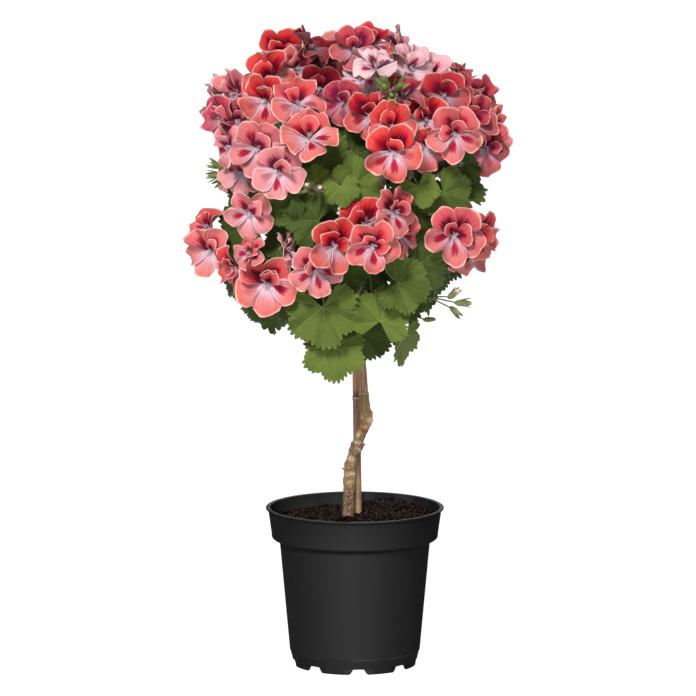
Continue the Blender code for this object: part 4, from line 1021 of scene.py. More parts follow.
class Paint:
    """A material and short ways to make its nodes."""

    def __init__(self, name, roughness, **values):
        self.material = bpy.data.materials.new(name)
        self.material.use_nodes = True
        self.tree = self.material.node_tree
        self.shader = self.tree.nodes["Principled BSDF"]
        self.shader.inputs["Roughness"].default_value = roughness
        for title, value in values.items():
            self.shader.inputs[title.replace("_", " ")].default_value = value

    def put(self, socket, value):
        """Link a value to a socket, or set the socket to a number or a colour."""
        if isinstance(value, Value):
            self.tree.links.new(value.socket, socket)
        elif socket.type == "RGBA":
            socket.default_value = (*value, 1)
        else:
            socket.default_value = value

    def node(self, kind, inputs, output=0, **settings):
        """Add a node with its settings and inputs, and return what it gives out."""
        made = self.tree.nodes.new("ShaderNode" + kind)
        for title, setting in settings.items():
            setattr(made, title, setting)
        for title, value in inputs.items():
            self.put(made.inputs[title], value)
        return Value(self, made.outputs[output])

    def math(self, operation, *values):
        return self.node("Math", dict(enumerate(values)), operation=operation)

    def parts(self, vector):
        """The three numbers of a vector."""
        apart = self.tree.nodes.new("ShaderNodeSeparateXYZ")
        self.put(apart.inputs[0], vector)
        return [Value(self, socket) for socket in apart.outputs]

    def mark(self, name):
        """The three numbers of a mark at the point."""
        return self.parts(self.node("Attribute", {}, "Vector", attribute_name=name))

    def where(self):
        """The point's place in the plant's own frame."""
        return self.node("TexCoord", {}, "Object")

    def height(self):
        """The height of the point above the floor."""
        return self.parts(self.where())[2]

    def vector(self, *numbers):
        return self.node("CombineXYZ", dict(enumerate(numbers)))

    def scaled(self, vector, scale):
        return self.node("VectorMath", {0: vector, 1: scale}, operation="MULTIPLY")

    def noise(self, vector, scale, detail=3.0, roughness=0.55, distortion=0.0):
        inputs = {"Vector": vector, "Scale": scale, "Detail": detail, "Roughness": roughness}
        return self.node("TexNoise", {**inputs, "Distortion": distortion}, "Fac")

    def grain(self, stretch, *values):
        """Noise in the plant's own frame, with its heights scaled by the stretch."""
        return self.noise(self.scaled(self.where(), (1, 1, stretch)), *values)

    def cells(self, vector, scale, feature="F1"):
        return self.node("TexVoronoi", {"Vector": vector, "Scale": scale}, "Distance", feature=feature)

    def step(self, value, low, high, kind="SMOOTHSTEP"):
        """0 below low, 1 above high, and a soft change between."""
        inputs = {"Value": value, "From Min": low, "From Max": high}
        return self.node("MapRange", inputs, "Result", interpolation_type=kind)

    def fall(self, value, low, high):
        """1 below low, 0 above high, and a soft change between."""
        return 1 - self.step(value, low, high)

    def contour(self, value, level, half):
        """Thin lines where a value passes a level."""
        return self.fall(abs(value - level), 0.0, half)

    def ramp(self, value, stops):
        """The colour that the value picks from stops of position and colour."""
        made = self.tree.nodes.new("ShaderNodeValToRGB")
        elements = made.color_ramp.elements
        while len(elements) < len(stops):
            elements.new(0.5)
        for element, (position, colour) in zip(elements, stops):
            element.position = position
            element.color = (*colour, 1)
        self.put(made.inputs["Fac"], value)
        return Value(self, made.outputs["Color"])

    def mix(self, share, a, b):
        """The colour a where the share is 0, and b where it is 1."""
        made = self.tree.nodes.new("ShaderNodeMix")
        made.data_type = "RGBA"
        self.put(made.inputs["Factor"], share)
        colours = [socket for socket in made.inputs if socket.type == "RGBA"]
        for socket, colour in zip(colours, (a, b)):
            self.put(socket, colour)
        return Value(self, next(socket for socket in made.outputs if socket.type == "RGBA"))

    def coats(self, colour, *coats):
        """The colour under coats of other colours, each put on with its share."""
        for share, over in coats:
            colour = self.mix(share, colour, over)
        return colour

    def set(self, title, value):
        """Give the shader a value that changes over the surface."""
        self.put(self.shader.inputs[title], value)

    def finish(self, colour, height, strength, distance):
        """Give the shader its colour and its bump (strength, and depth in metres)."""
        inputs = {"Strength": strength, "Distance": distance, "Height": height}
        self.set("Normal", self.node("Bump", inputs))
        self.set("Base Color", colour)
        return self.material

    def glow(self, colour, share):
        """Let some of the light through a thin blade."""
        through = self.node("BsdfTranslucent", {"Color": colour})
        plain = Value(self, self.shader.outputs[0])
        both = self.node("MixShader", {"Fac": share, 1: plain, 2: through})
        self.put(self.tree.nodes["Material Output"].inputs["Surface"], both)


# Tints of the green parts: how bright and how red. The third number isn't used
PALE_HAIRS = (0.95, 0, 0)
BRACT_GREEN = (0.8, 0.1, 0)

# Colours as red, green and blue, each from 0 to 1
CORAL = (0.60, 0.076, 0.062)
SALMON = (0.61, 0.155, 0.132)
RED = (0.50, 0.012, 0.022)
CRIMSON = (0.25, 0.005, 0.020)
MAROON = (0.075, 0.0025, 0.010)
LILAC = (0.66, 0.53, 0.61)
CREAM = (0.77, 0.46, 0.40)
MAGENTA = (0.40, 0.028, 0.120)
# The dark red of the painted shade on blooms that lie in shade
WINE_SHADE = (0.105, 0.0045, 0.015)
BLUSH = (0.78, 0.60, 0.64)
# Bands of colour, each with its position from 0 to 1. On a petal they go from the throat to the rim
UPPER_BANDS = (
    (0.0, LILAC), (0.10, (0.50, 0.24, 0.34)), (0.19, MAROON), (0.40, MAROON), (0.50, CRIMSON),
    (0.60, RED), (0.78, (0.60, 0.050, 0.045)), (0.97, CORAL),
)
LOWER_BANDS = (
    (0.0, LILAC), (0.24, (0.66, 0.49, 0.55)), (0.42, (0.64, 0.26, 0.28)), (0.64, SALMON), (0.92, CORAL),
)
# On the trunk and the cane they go up, from the first of these heights to the second
BAND_HEIGHTS = (150 * MM, 350 * MM)
BARK_BANDS = (
    (0.0, (0.13, 0.080, 0.042)), (0.06, (0.12, 0.076, 0.040)), (0.14, (0.175, 0.106, 0.051)),
    (0.22, (0.245, 0.145, 0.068)), (0.46, (0.225, 0.125, 0.054)), (0.51, (0.36, 0.165, 0.058)),
    (0.56, (0.34, 0.165, 0.060)), (0.60, (0.38, 0.250, 0.115)), (0.70, (0.31, 0.215, 0.098)),
    (0.75, (0.37, 0.205, 0.130)), (0.88, (0.38, 0.190, 0.125)), (1.0, (0.18, 0.170, 0.070)),
)
CANE_BANDS = (
    (0.0, (0.13, 0.068, 0.036)), (0.07, (0.17, 0.092, 0.048)), (0.14, (0.21, 0.118, 0.061)),
    (0.22, (0.33, 0.185, 0.092)), (0.30, (0.34, 0.190, 0.095)), (0.42, (0.30, 0.150, 0.095)),
    (0.50, (0.27, 0.130, 0.108)), (0.675, (0.26, 0.120, 0.098)), (0.70, (0.36, 0.205, 0.090)),
    (0.85, (0.44, 0.270, 0.110)), (1.0, (0.40, 0.250, 0.100)),
)
# Painted shade on both: how dark they are near the soil, and how much lighter they get between two heights
# further up
FOOT_SHADE = 0.44
SHADE_LIFTS = ((184 * MM, 202 * MM, 0.19), (240 * MM, 258 * MM, 0.25))
# Between these heights the trunk turns green
GREENING = (365 * MM, 430 * MM)
# In the peat the bands go from the hollows to the tops of its grain
PEAT_BANDS = (
    (0.32, (0.0009, 0.0005, 0.0004)), (0.52, (0.0036, 0.0015, 0.0012)), (0.72, (0.021, 0.0088, 0.0068)),
)


def petal_front():
    """The painted face: blotch and streaks, then coral, then a narrow pale margin."""
    paint = Paint("petal_front", 0.55, Specular_IOR_Level=0.03)
    along, across, edge = paint.mark("place")
    upper, tone, seed = paint.mark("petal")
    pale, wine_shade, magenta = paint.mark("tint")
    streak = paint.noise(paint.vector(along * 1.3, across * 6, seed), 1.8, 4, 0.7) - 0.5
    cloud = paint.noise(paint.vector(along * 2, across * 1.5, seed), 1.4, 2) - 0.5
    shift = streak * paint.step(along, 0.08, 0.4) * 0.80 + cloud * 0.35 + (tone - 0.5) * 0.22
    # A darkened bloom's painted shade pulls the bands towards maroon
    reach = along + abs(across) ** 2.0 * 0.40 + shift + wine_shade * -0.2
    off = (along - 0.42) / 0.25
    aside = across / 0.46
    blotch = paint.fall(off * off + aside * aside + streak * 4.5, 0.55, 1.25) * paint.step(tone, 0.0, 0.45)
    lower_colour = paint.mix(blotch, paint.ramp(along + cloud * 0.35, LOWER_BANDS), (0.36, 0.006, 0.030))
    colour = paint.mix(upper, lower_colour, paint.ramp(reach, UPPER_BANDS))
    veins = paint.step(paint.math("SINE", across * 30 + streak * 9), 0.3, 1) * paint.fall(along, 0.5, 1.0)
    deep = upper * paint.fall(reach, 0.42, 0.64)
    kept = paint.math("MAXIMUM", paint.math("MAXIMUM", blotch, deep), veins * 0.5) * 0.86
    whiter = paint.mix(paint.step(along, 0.1, 0.7), LILAC, BLUSH)
    margin = paint.fall(edge + cloud * 0.12, 0.02, 0.09) * 0.85 * paint.step(along, 0.30, 0.75)
    # Painted shade coats a darkened bloom dark red and keeps its margin from going pale
    colour = paint.coats(
        colour, (veins * 0.45, CRIMSON), (pale * (0.9 - kept), whiter), (magenta * 0.6, MAGENTA),
        (wine_shade * 0.75, WINE_SHADE), (margin * (1 - wine_shade * 0.7), CREAM),
    )
    paint.glow(colour, 0.12)
    return paint.finish(colour, streak + veins * 0.5, 0.5, 0.0008)


def petal_back():
    """The pale outside of a petal, with pink veins."""
    paint = Paint("petal_back", 0.6, Specular_IOR_Level=0.04)
    along, across = paint.mark("place")[:2]
    seed = paint.mark("petal")[2]
    wine_shade = paint.mark("tint")[1]
    streak = paint.noise(paint.vector(along * 1.5, across * 8, seed), 1.8, 4, 0.6)
    # The last coat is painted shade in dark red on darkened blooms
    colour = paint.coats(
        (0.46, 0.26, 0.32), (paint.step(along, 0.1, 0.9), (0.52, 0.22, 0.21)),
        (paint.step(streak, 0.5, 0.75) * 0.6, (0.36, 0.07, 0.13)), (wine_shade * 0.7, (0.085, 0.012, 0.022)),
    )
    paint.glow(colour, 0.15)
    return paint.finish(colour, streak, 0.4, 0.0008)


def blade_nodes(paint):
    """What a leaf's two faces share: place, distance to the rim, tone, main veins and side veins."""
    x, y, edge = paint.mark("place")
    tone, seed = paint.mark("tint")[:2]
    angle = paint.math("ARCTAN2", x, y * -1)
    apart = math.radians(2 * LOBE_STEP)
    off = angle - paint.math("ROUND", angle / apart) * apart
    radius = paint.math("SQRT", x * x + y * y)
    aside = abs(radius * paint.math("SINE", off))
    half = 0.009 + (1 - radius) * 0.014
    main = paint.fall(aside, half * 0.4, half)
    rib = radius * paint.math("COSINE", off) - aside * 1.15
    wave = paint.math("PINGPONG", rib * 7.5, 0.5)
    side = paint.fall(wave, 0.02, 0.10) * paint.step(rib, 0.12, 0.3)
    return paint.vector(x, y, seed), edge, tone, main, side


def leaf_front():
    """The upper face of a leaf: mottled green with a fine net, sunk veins and a paler rim."""
    paint = Paint("leaf_front", 0.5, Specular_IOR_Level=0.12)
    at, edge, tone, main, side = blade_nodes(paint)
    cloud = paint.noise(at, 2.4, 3)
    net = paint.fall(paint.cells(at, 26, "DISTANCE_TO_EDGE"), 0.0, 0.12)
    dark = paint.mix(cloud, (0.016, 0.032, 0.006), (0.040, 0.070, 0.011))
    bright = paint.mix(cloud, (0.105, 0.165, 0.020), (0.205, 0.265, 0.046))
    pale = paint.mix(tone, (0.115, 0.15, 0.046), (0.31, 0.37, 0.115))
    shares = (net * 0.16, side * 0.40, main * 0.70, paint.fall(edge, 0.0, 0.035) * 0.3)
    colour = paint.coats(dark, (tone, bright), *((share, pale) for share in shares))
    paint.glow(paint.mix(0.5, colour, (0.18, 0.26, 0.03)), 0.14)
    quilt = cloud * 0.5 - net * 0.25
    return paint.finish(colour, quilt - (main * 0.9 + side * 0.5), 0.8, 0.0010)


def leaf_back():
    """The paler under face of a leaf, with raised veins."""
    paint = Paint("leaf_back", 0.62, Specular_IOR_Level=0.1)
    at, _, tone, main, side = blade_nodes(paint)
    cloud = paint.noise(at, 3, 3)
    veins = paint.math("MAXIMUM", main, side * 0.6)
    colour = paint.coats(
        (0.062, 0.090, 0.028), (tone, (0.145, 0.190, 0.058)), (cloud * 0.4, (0.11, 0.16, 0.06)),
        (veins * 0.6, (0.25, 0.32, 0.14)),
    )
    paint.glow(colour, 0.16)
    return paint.finish(colour, main + side * 0.6 + cloud * 0.3, 0.7, 0.0008)


def stem_green():
    """Green stems, stalks, sepals and buds' cups: redder or paler by their tint."""
    paint = Paint("stem_green", 0.55, Specular_IOR_Level=0.3, Sheen_Weight=0.05, Sheen_Roughness=0.5)
    tone, red = paint.mark("tint")[:2]
    fine = paint.noise(paint.where(), 900, 3)
    coarse = paint.noise(paint.where(), 160, 2)
    colour = paint.coats(
        (0.045, 0.075, 0.015), (tone, (0.175, 0.235, 0.050)), (coarse * 0.5, (0.12, 0.14, 0.042)),
        (red * paint.step(coarse, 0.35, 0.7), (0.17, 0.042, 0.032)), (fine * 0.25, (0.22, 0.26, 0.12)),
    )
    return paint.finish(colour, fine, 0.4, 0.0003)


def stamen_pale():
    """Whitish filaments with dusky tips."""
    paint = Paint("stamen", 0.5)
    tip = paint.step(paint.mark("place")[0], 0.80, 0.86)
    grain = paint.noise(paint.where(), 2500, 2)
    dusky = paint.mix(grain, (0.06, 0.02, 0.03), (0.28, 0.10, 0.05))
    colour = paint.coats((0.60, 0.52, 0.58), (grain * 0.3, (0.46, 0.28, 0.38)), (tip, dusky))
    return paint.finish(colour, grain, 0.3, 0.0001)


def painted_foot_shade(paint, colour, height):
    """Painted shade: wood that is darker towards the soil, and lighter in two steps further up."""
    share = FOOT_SHADE
    for low, high, less in SHADE_LIFTS:
        share = share - paint.step(height, low, high) * less
    return paint.mix(share, colour, (0.012, 0.006, 0.002))


def bark():
    """Knotty brown bark below, a light tan knot, then smoother wood with rosy and pale streaks."""
    paint = Paint("bark", 0.8, Specular_IOR_Level=0.2)
    light, ring = paint.mark("place")[:2]
    height = paint.height()
    grain = paint.grain(0.20, 620, 5, 0.65)
    scale = paint.grain(0.6, 330, 4, 0.6)
    wander = (paint.grain(0.5, 110, 2) - 0.5) * 0.0125
    zone = paint.step(height + wander, *BAND_HEIGHTS, kind="LINEAR")
    rough = paint.fall(zone, 0.50, 0.62)
    smooth = paint.step(zone, 0.58, 0.66)
    crack = paint.contour(paint.grain(1.5, 230, 4, 0.65, 0.6), 0.47, 0.030) * (0.20 + rough * 0.75)
    wrinkle = paint.contour(paint.grain(2.6, 200, 3, 0.6, 0.4), 0.53, 0.028) * (0.15 + rough * 0.65)
    streak = paint.grain(0.045, 420, 3)
    colour = paint.coats(
        paint.ramp(zone, BARK_BANDS), (crack, (0.050, 0.022, 0.008)), (wrinkle, (0.50, 0.37, 0.225)),
        (paint.fall(grain, 0.32, 0.52) * 0.45, (0.105, 0.058, 0.025)),
        (paint.step(streak, 0.52, 0.60) * smooth * 0.70, (0.54, 0.47, 0.29)),
        (paint.fall(streak, 0.36, 0.46) * smooth * 0.55, (0.17, 0.075, 0.045)),
        (light * (0.35 + scale * 0.9), (0.78, 0.63, 0.44)), (ring * 0.8, (0.62, 0.55, 0.44)),
        (paint.step(height, *GREENING), (0.085, 0.100, 0.034)),
    )
    # Painted shade towards the soil
    colour = painted_foot_shade(paint, colour, height)
    return paint.finish(colour, grain * 0.7 + scale * 0.8 - crack * 0.35, 1.0, 0.0020)


def bamboo():
    """A thin cane: tan brown below, a mauve stretch, a whitish ring, then ochre."""
    paint = Paint("bamboo", 0.5, Specular_IOR_Level=0.3)
    height = paint.height()
    fibre = paint.grain(0.02, 1500, 4)
    patch = paint.grain(0.25, 90, 3)
    from_ring = height - CANE_NODE_HEIGHTS[1]
    above = paint.step(from_ring, 0.0, 0.0012) * paint.fall(from_ring, 0.003, 0.010)
    colour = paint.coats(
        paint.ramp(paint.step(height, *BAND_HEIGHTS, kind="LINEAR"), CANE_BANDS),
        (paint.step(fibre, 0.3, 0.7) * 0.5, (0.44, 0.28, 0.155)),
        (paint.fall(patch, 0.36, 0.50) * 0.45, (0.085, 0.040, 0.022)), (above * 0.75, (0.075, 0.038, 0.024)),
        (paint.fall(abs(from_ring), 0.0004, 0.0010) * 0.85, (0.56, 0.46, 0.42)),
    )
    # Painted shade towards the soil, as on the trunk
    return paint.finish(painted_foot_shade(paint, colour, height), fibre, 0.35, 0.0005)


def black_plastic():
    """Near-black moulded plastic with faint flow lines and dusty mottling, painted highlights on the lip top
    and the foot step, and painted sheen inside.
    """
    paint = Paint("pot_plastic", 0.7, Specular_IOR_Level=0.14)
    at = paint.where()
    height = paint.height()
    fine = paint.noise(at, 700, 4)
    flow = paint.grain(0.12, 45, 3)
    dust_and_sheen = paint.noise(at, 25, 4)
    # Painted highlights: a line along the top of the lip and a thin line at the foot step, broken up by the
    # mottling noise
    painted_lip_highlight = paint.step(height, POT_HEIGHT - 1.4 * MM, POT_HEIGHT - 0.4 * MM) * paint.step(dust_and_sheen, 0.25, 0.6)
    painted_step_highlight = paint.contour(height, BODY_FOOT_HEIGHT - 0.1 * MM, 0.6 * MM) * paint.step(dust_and_sheen, 0.42, 0.55)
    level = paint.scaled(at, (1, 1, 0))
    radius = paint.node("VectorMath", {0: level}, "Value", operation="LENGTH")
    # Painted sheen: lighter patches on the inside wall above the soil
    wall = COLLAR_FOOT_RADIUS - 0.9 * MM + (height - COLLAR_FOOT_HEIGHT) * 0.115
    above_soil = paint.step(height, SOIL_EDGE_HEIGHT - 6 * MM, SOIL_EDGE_HEIGHT)
    patchy = paint.step(paint.noise(at, 30, 3), 0.40, 0.62)
    inside = paint.math("LESS_THAN", radius, wall) * above_soil * patchy
    colour = paint.coats(
        (0.0034, 0.0034, 0.0035), (dust_and_sheen * 0.6, (0.0048, 0.0047, 0.0047)),
        (painted_lip_highlight * 0.35, (0.030, 0.028, 0.026)), (painted_step_highlight, (0.040, 0.039, 0.037)),
        (inside * 0.5, (0.014, 0.0136, 0.0132)),
    )
    paint.set("Roughness", 0.60 + (flow * 0.12 + fine * 0.06))
    return paint.finish(colour, fine * 0.5 + flow, 0.08, 0.0005)


def peat():
    """Nearly black, reddish brown soil with lighter crumbs and pale specks."""
    paint = Paint("peat", 0.95, Specular_IOR_Level=0.02)
    at = paint.where()
    grain = paint.noise(at, 900, 4, 0.7)
    lump = paint.step(paint.noise(at, 260, 2), 0.55, 0.70)
    speck = paint.step(paint.noise(at, 700, 1), 0.66, 0.71)
    bands = paint.ramp(grain, PEAT_BANDS)
    colour = paint.coats(bands, (lump * 0.6, (0.023, 0.0093, 0.0078)), (speck, (0.13, 0.092, 0.078)))
    return paint.finish(colour, grain + paint.cells(at, 420), 1.0, 0.0015)


def floor_white():
    """A plain white floor that glows evenly, so that hardly a shadow shows."""
    paint = Paint("floor", 0.9, Specular_IOR_Level=0.0, Emission_Color=(1, 1, 1, 1), Emission_Strength=0.98)
    grain = paint.noise(paint.where(), 8, 2)
    paint.set("Base Color", paint.mix(grain, (0.13, 0.13, 0.13), (0.15, 0.15, 0.15)))
    return paint.material


def wave(at, low, high, draw):
    """A wave over the places, with its closeness drawn between low and high, and any start."""
    return np.sin(at * draw.uniform(low, high) + draw.uniform(0, 6))


def petal_shape(length, width, upper, draw, rows=PETAL_ROWS, columns=PETAL_COLUMNS):
    """Points of one petal on a grid, with its place: along, across, and distance to the rim."""
    along = np.linspace(0, 1, rows)[:, None]
    across = np.linspace(-1, 1, columns)[None, :]
    turn = across * np.pi / 2
    round_end = 0.60 + 0.40 * np.cos(turn)
    swell = 0.16 + 0.84 * np.sin(np.pi / 2 * along) ** 1.35
    dents = RIM_DENTS[0] * wave(across, 3.5, 5.5, draw)
    dents = dents + RIM_DENTS[1] * wave(across, 9, 14, draw)
    notch = 1 + dents * along ** 3
    x = 0.03 + along * round_end * notch
    y = width * np.sin(turn) * swell * notch
    side = np.abs(np.sin(turn))
    rim = np.maximum(side ** 3, along ** 3)
    rise = draw.uniform(*(UPPER_RISE if upper else LOWER_RISE))
    z = rise * x - (rise - 0.20) * 0.7 * x ** 2 - 0.05 * (1 - along) ** 2
    fold = draw.uniform(*PETAL_FOLD)
    z = z + fold * along * side ** 1.6
    z = z + draw.uniform(-PETAL_TWIST, PETAL_TWIST) * along ** 1.2 * np.sin(turn)
    z = z + draw.uniform(*PETAL_CURL) * np.clip(along - 0.45, 0, 1) ** 2 * 2.2
    ruffle = draw.uniform(*PETAL_RUFFLE)
    z = z + ruffle * rim * along * wave(across, 4.0, 7.5, draw)
    z = z + FINE_RUFFLE * rim * along * wave(across, 11, 16, draw)
    z = z + PETAL_RIBS * np.sin(turn * 5 + draw.uniform(0, 6)) * along
    y = y * (1 - 0.4 * abs(fold) * along)
    to_side = width * swell * (1 - side) + 0.5 * (1 - along)
    to_tip = (1 - along) * (0.55 + 0.45 * np.cos(turn)) + 0.02 * (1 - side)
    place = np.stack([along * round_end, np.sin(turn) + 0 * along, np.minimum(to_side, to_tip)], axis=-1)
    return np.stack([x, y, z], axis=-1) * length, place


def add_petal(petals, bloom, shape, place, turn, rank, tint, draw):
    """Add a petal at its turn (degrees) in the bloom. Its rank is 1 for an upper or inner one."""
    degrees, sway = turn
    spin = turn_array(Matrix.Rotation(math.radians(degrees + draw.uniform(-sway, sway)), 3, "Z"))
    petals.petal = (rank, draw.uniform(0, 1), draw.uniform(0, 50))
    points = shape @ spin @ turn_array(bloom["axes"]) + np.array(bloom["at"])
    petals.blade(points, PETAL_SKIN, place, tint)


def add_inner_petals(petals, bloom, tint):
    """One or two small extra petals that stand half upright inside a semi-double bloom."""
    draw = random.Random(round(bloom["at"][0] * 1e6))
    radius = BLOOM_RADIUS * bloom["size"]
    first = draw.choice((62, 118))
    for degrees in (first, 180 - first + draw.choice((-62, 62)))[:draw.choice((1, 2, 2))]:
        reach = draw.uniform(*INNER_REACH)
        width = draw.uniform(*INNER_WIDTH)
        shape, place = petal_shape(radius * reach, width, True, draw, INNER_ROWS, INNER_COLUMNS)
        lift = math.radians(draw.uniform(*INNER_LIFT))
        tilt = [[math.cos(lift), 0, math.sin(lift)], [0, 1, 0], [-math.sin(lift), 0, math.cos(lift)]]
        shape = shape @ np.array(tilt)
        shape[..., 2] += 0.05 * radius
        add_petal(petals, bloom, shape, place, (degrees, 12), 1.0, tint, draw)


def add_bloom(petals, greens, stamens, bloom, tint, draw):
    """Five petals, a green cup of sepals and the stamens of one open bloom."""
    radius = BLOOM_RADIUS * bloom["size"]
    for order, degrees in enumerate(PETAL_AXES):
        upper = degrees < 180
        width, reach = UPPER_PETAL if upper else LOWER_PETAL
        shape, place = petal_shape(radius * reach, width * draw.uniform(0.92, 1.08), upper, draw)
        shape[..., 2] += (0.030 if order % 2 else 0.0) * radius * place[..., 0]
        add_petal(petals, bloom, shape, place, (degrees, 5), 1.0 if upper else 0.0, tint, draw)
    add_inner_petals(petals, bloom, tint)
    add_cup(greens, bloom, draw)
    add_stamens(stamens, bloom, draw)


def leaflet(sheaf, root, way, up, length, width, tint, draw):
    """A small pointed blade, such as a sepal or a bract, curving a little upwards."""
    along = np.linspace(0, 1, LEAFLET_ROWS)[:, None]
    across = np.linspace(-1, 1, LEAFLET_ROWS)[None, :]
    half = width / 2 * np.sin(np.pi * np.clip(0.12 + 0.88 * along, 0, 1)) ** 0.75
    half = np.maximum(half, 0.02 * width)
    bow = draw.uniform(0.05, 0.22)
    x = along * length + 0 * across
    y = half * across
    z = bow * length * along ** 2 + 0.25 * np.abs(y)
    side = unit(np.cross(up, way))
    up = np.cross(way, side)
    points = root + x[..., None] * way + y[..., None] * side + z[..., None] * up
    place = np.stack([along + 0 * across, across + 0 * along, 1 - np.abs(across) + 0 * along], axis=-1)
    sheaf.blade(points, LEAFLET_SKIN, place, tint, (0, 0))


def add_hairs(sheaf, path, radius, count, length, tint, draw):
    """Short fine hairs that stand off a stem."""
    for _ in range(count):
        at = draw.uniform(0, len(path) - 1.001)
        low = int(at)
        step = path[low + 1] - path[low]
        point = path[low] + step * (at - low)
        way = unit(step)
        side = unit(np.cross(way, [draw.gauss(0, 1), draw.gauss(0, 1), draw.gauss(0, 1)]))
        reach = radius + length * draw.uniform(0.6, 1.2)
        tip = point + side * reach + way * length * draw.uniform(-0.3, 0.3)
        sheaf.tube([point + side * radius * 0.8, tip], HAIR_RADII, 3, tint)


def bloom_frame(bloom):
    """A bloom's middle, its right, its up and the way it faces, as arrays."""
    return np.array(bloom["at"]), *(np.array(bloom["axes"].col[at]) for at in range(3))


def ways_round(count, side, up, shake, draw, first=0):
    """Directions all round, one after the other, each a little off its even place."""
    for number in range(count):
        angle = math.tau * (number + first) / count + draw.uniform(-shake, shake)
        yield side * math.cos(angle) + up * math.sin(angle)


def add_cup(greens, bloom, draw):
    """The green cup behind a bloom: five pointed, hairy sepals."""
    origin, side, up, out = bloom_frame(bloom)
    neck = origin - out * CALYX_LENGTH
    cup = [neck - out * 0.5 * MM, neck + out * 1.5 * MM, neck + out * 4.2 * MM]
    greens.tube(cup, [1.2 * MM, 1.9 * MM, 2.3 * MM], 8, (0.6, 0.3, 0))
    length = 10.5 * MM * bloom["size"]
    for away in ways_round(5, side, up, 0.12, draw, 0.25):
        way = unit(out * 0.50 + away * 0.86)
        root = neck + out * 1.0 * MM + away * 1.3 * MM
        leaflet(greens, root, way, -out * 0.3 - away, length, 3.4 * MM, (0.75, 0.25, 0), draw)
        add_hairs(greens, [root, root + way * 8 * MM], 0.8 * MM, 5, HAIR_LENGTH, PALE_HAIRS, draw)


def add_stamens(stamens, bloom, draw):
    """Seven curved filaments with their anthers, and the style."""
    origin, side, up, out = bloom_frame(bloom)
    for away in ways_round(7, side, up, 0.3, draw):
        spread = draw.uniform(2.0, 4.6) * MM * bloom["size"]
        tall = draw.uniform(6, 9) * MM * bloom["size"]
        line = [origin - out * 1 * MM, origin + out * tall * 0.5 + away * spread * 0.35]
        for rise, part in ((0.86, 0.85), (1, 1)):
            line.append(origin + out * tall * rise + away * spread * part - up * 1.2 * MM)
        line = smooth_path(line, 3)
        radii = np.linspace(0.42, 0.24, len(line)) * MM
        radii[-2:] = ANTHER_RADIUS
        stamens.tube(line, radii, 5)
    line = smooth_path([origin, origin + out * 4.5 * MM, origin + out * 8 * MM - up * 2.2 * MM], 3)
    stamens.tube(line, np.linspace(0.5, 0.3, len(line)) * MM, 5, end=0.7)


def add_pedicel(greens, bloom, hub, draw):
    """A bloom's hairy stalk, from the hub to the cup."""
    line = smooth_path(pedicel_path(bloom, hub)[:-1], 6)
    greens.tube(line, PEDICEL_RADIUS * 0.85, 7, (0.65, 0.35, draw.uniform(0, 9)))
    add_hairs(greens, line, PEDICEL_RADIUS * 0.8, 26, HAIR_LENGTH, PALE_HAIRS, draw)


def add_bud(greens, petals, bloom, hub, draw, showing, spread):
    """An unopened bud: a green cup of pointed sepals, with rolled petals showing on a riper one."""
    middle, side, up, out = bloom_frame(bloom)
    half = BUD_LENGTH * bloom["size"]
    line = [middle + out * half * t for t in (-1, -0.8, -0.5, -0.1, 0.3, 0.6)]
    radii = np.array([0.12, 0.26, 0.40, 0.43, 0.34, 0.20]) * half
    greens.tube(line, radii, 10, (0.6, 0.2, draw.uniform(0, 9)))
    for away in ways_round(5, side, up, 0.1, draw):
        root = middle - out * half * 0.75 + away * half * 0.22
        way = unit(out + away * spread * draw.uniform(0.5, 1.3))
        leaflet(greens, root, way, -away, half * (1.65 + spread), half * 0.52, (0.8, 0.15, 0), draw)
        add_hairs(greens, [root, root + way * half * 1.4], 0.9 * MM, 8, HAIR_LENGTH, (1, 0, 0), draw)
    if showing:
        line = [middle + out * half * t for t in (-0.3, 0.0, 0.4, 0.8, 1.1, 1.2)]
        radii = np.array([0.24, 0.32, 0.36, 0.33, 0.20, 0.06]) * half
        petals.petal = (0.0, 0.0, draw.uniform(0, 50))
        petals.tube(line, radii, 12, (0.95, 0, 0.1), end=0.75)
    stalk = smooth_path([hub, middle - out * half * 0.6], 5)
    greens.tube(stalk, PEDICEL_RADIUS * 0.8, 7, (0.7, 0.3, 0))
    add_hairs(greens, stalk, PEDICEL_RADIUS * 0.8, 20, HAIR_LENGTH, (1, 0, 0), draw)


def add_hub(greens, head, draw):
    """The short stem from which a head's stalks spread, with five bracts round it."""
    hub = np.array(head["hub"])
    low, high = (np.array(end) for end in hub_ends(head))
    greens.tube([low, hub, high], [1.9 * MM, 2.8 * MM, 2.2 * MM], 10, (0.6, 0.25, 0))
    axes = axes_about(head["out"])
    for bract in range(5):
        away = np.array(axes @ round_way(math.tau * bract / 5))
        way = unit(np.array(head["out"]) * 0.9 + away * 0.6)
        leaflet(greens, hub + away * 1.8 * MM, way, -away, 7 * MM, 3 * MM, BRACT_GREEN, draw)


def stand_for(piece, node):
    """Hide the node of the frame that the piece stands for."""
    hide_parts(node)


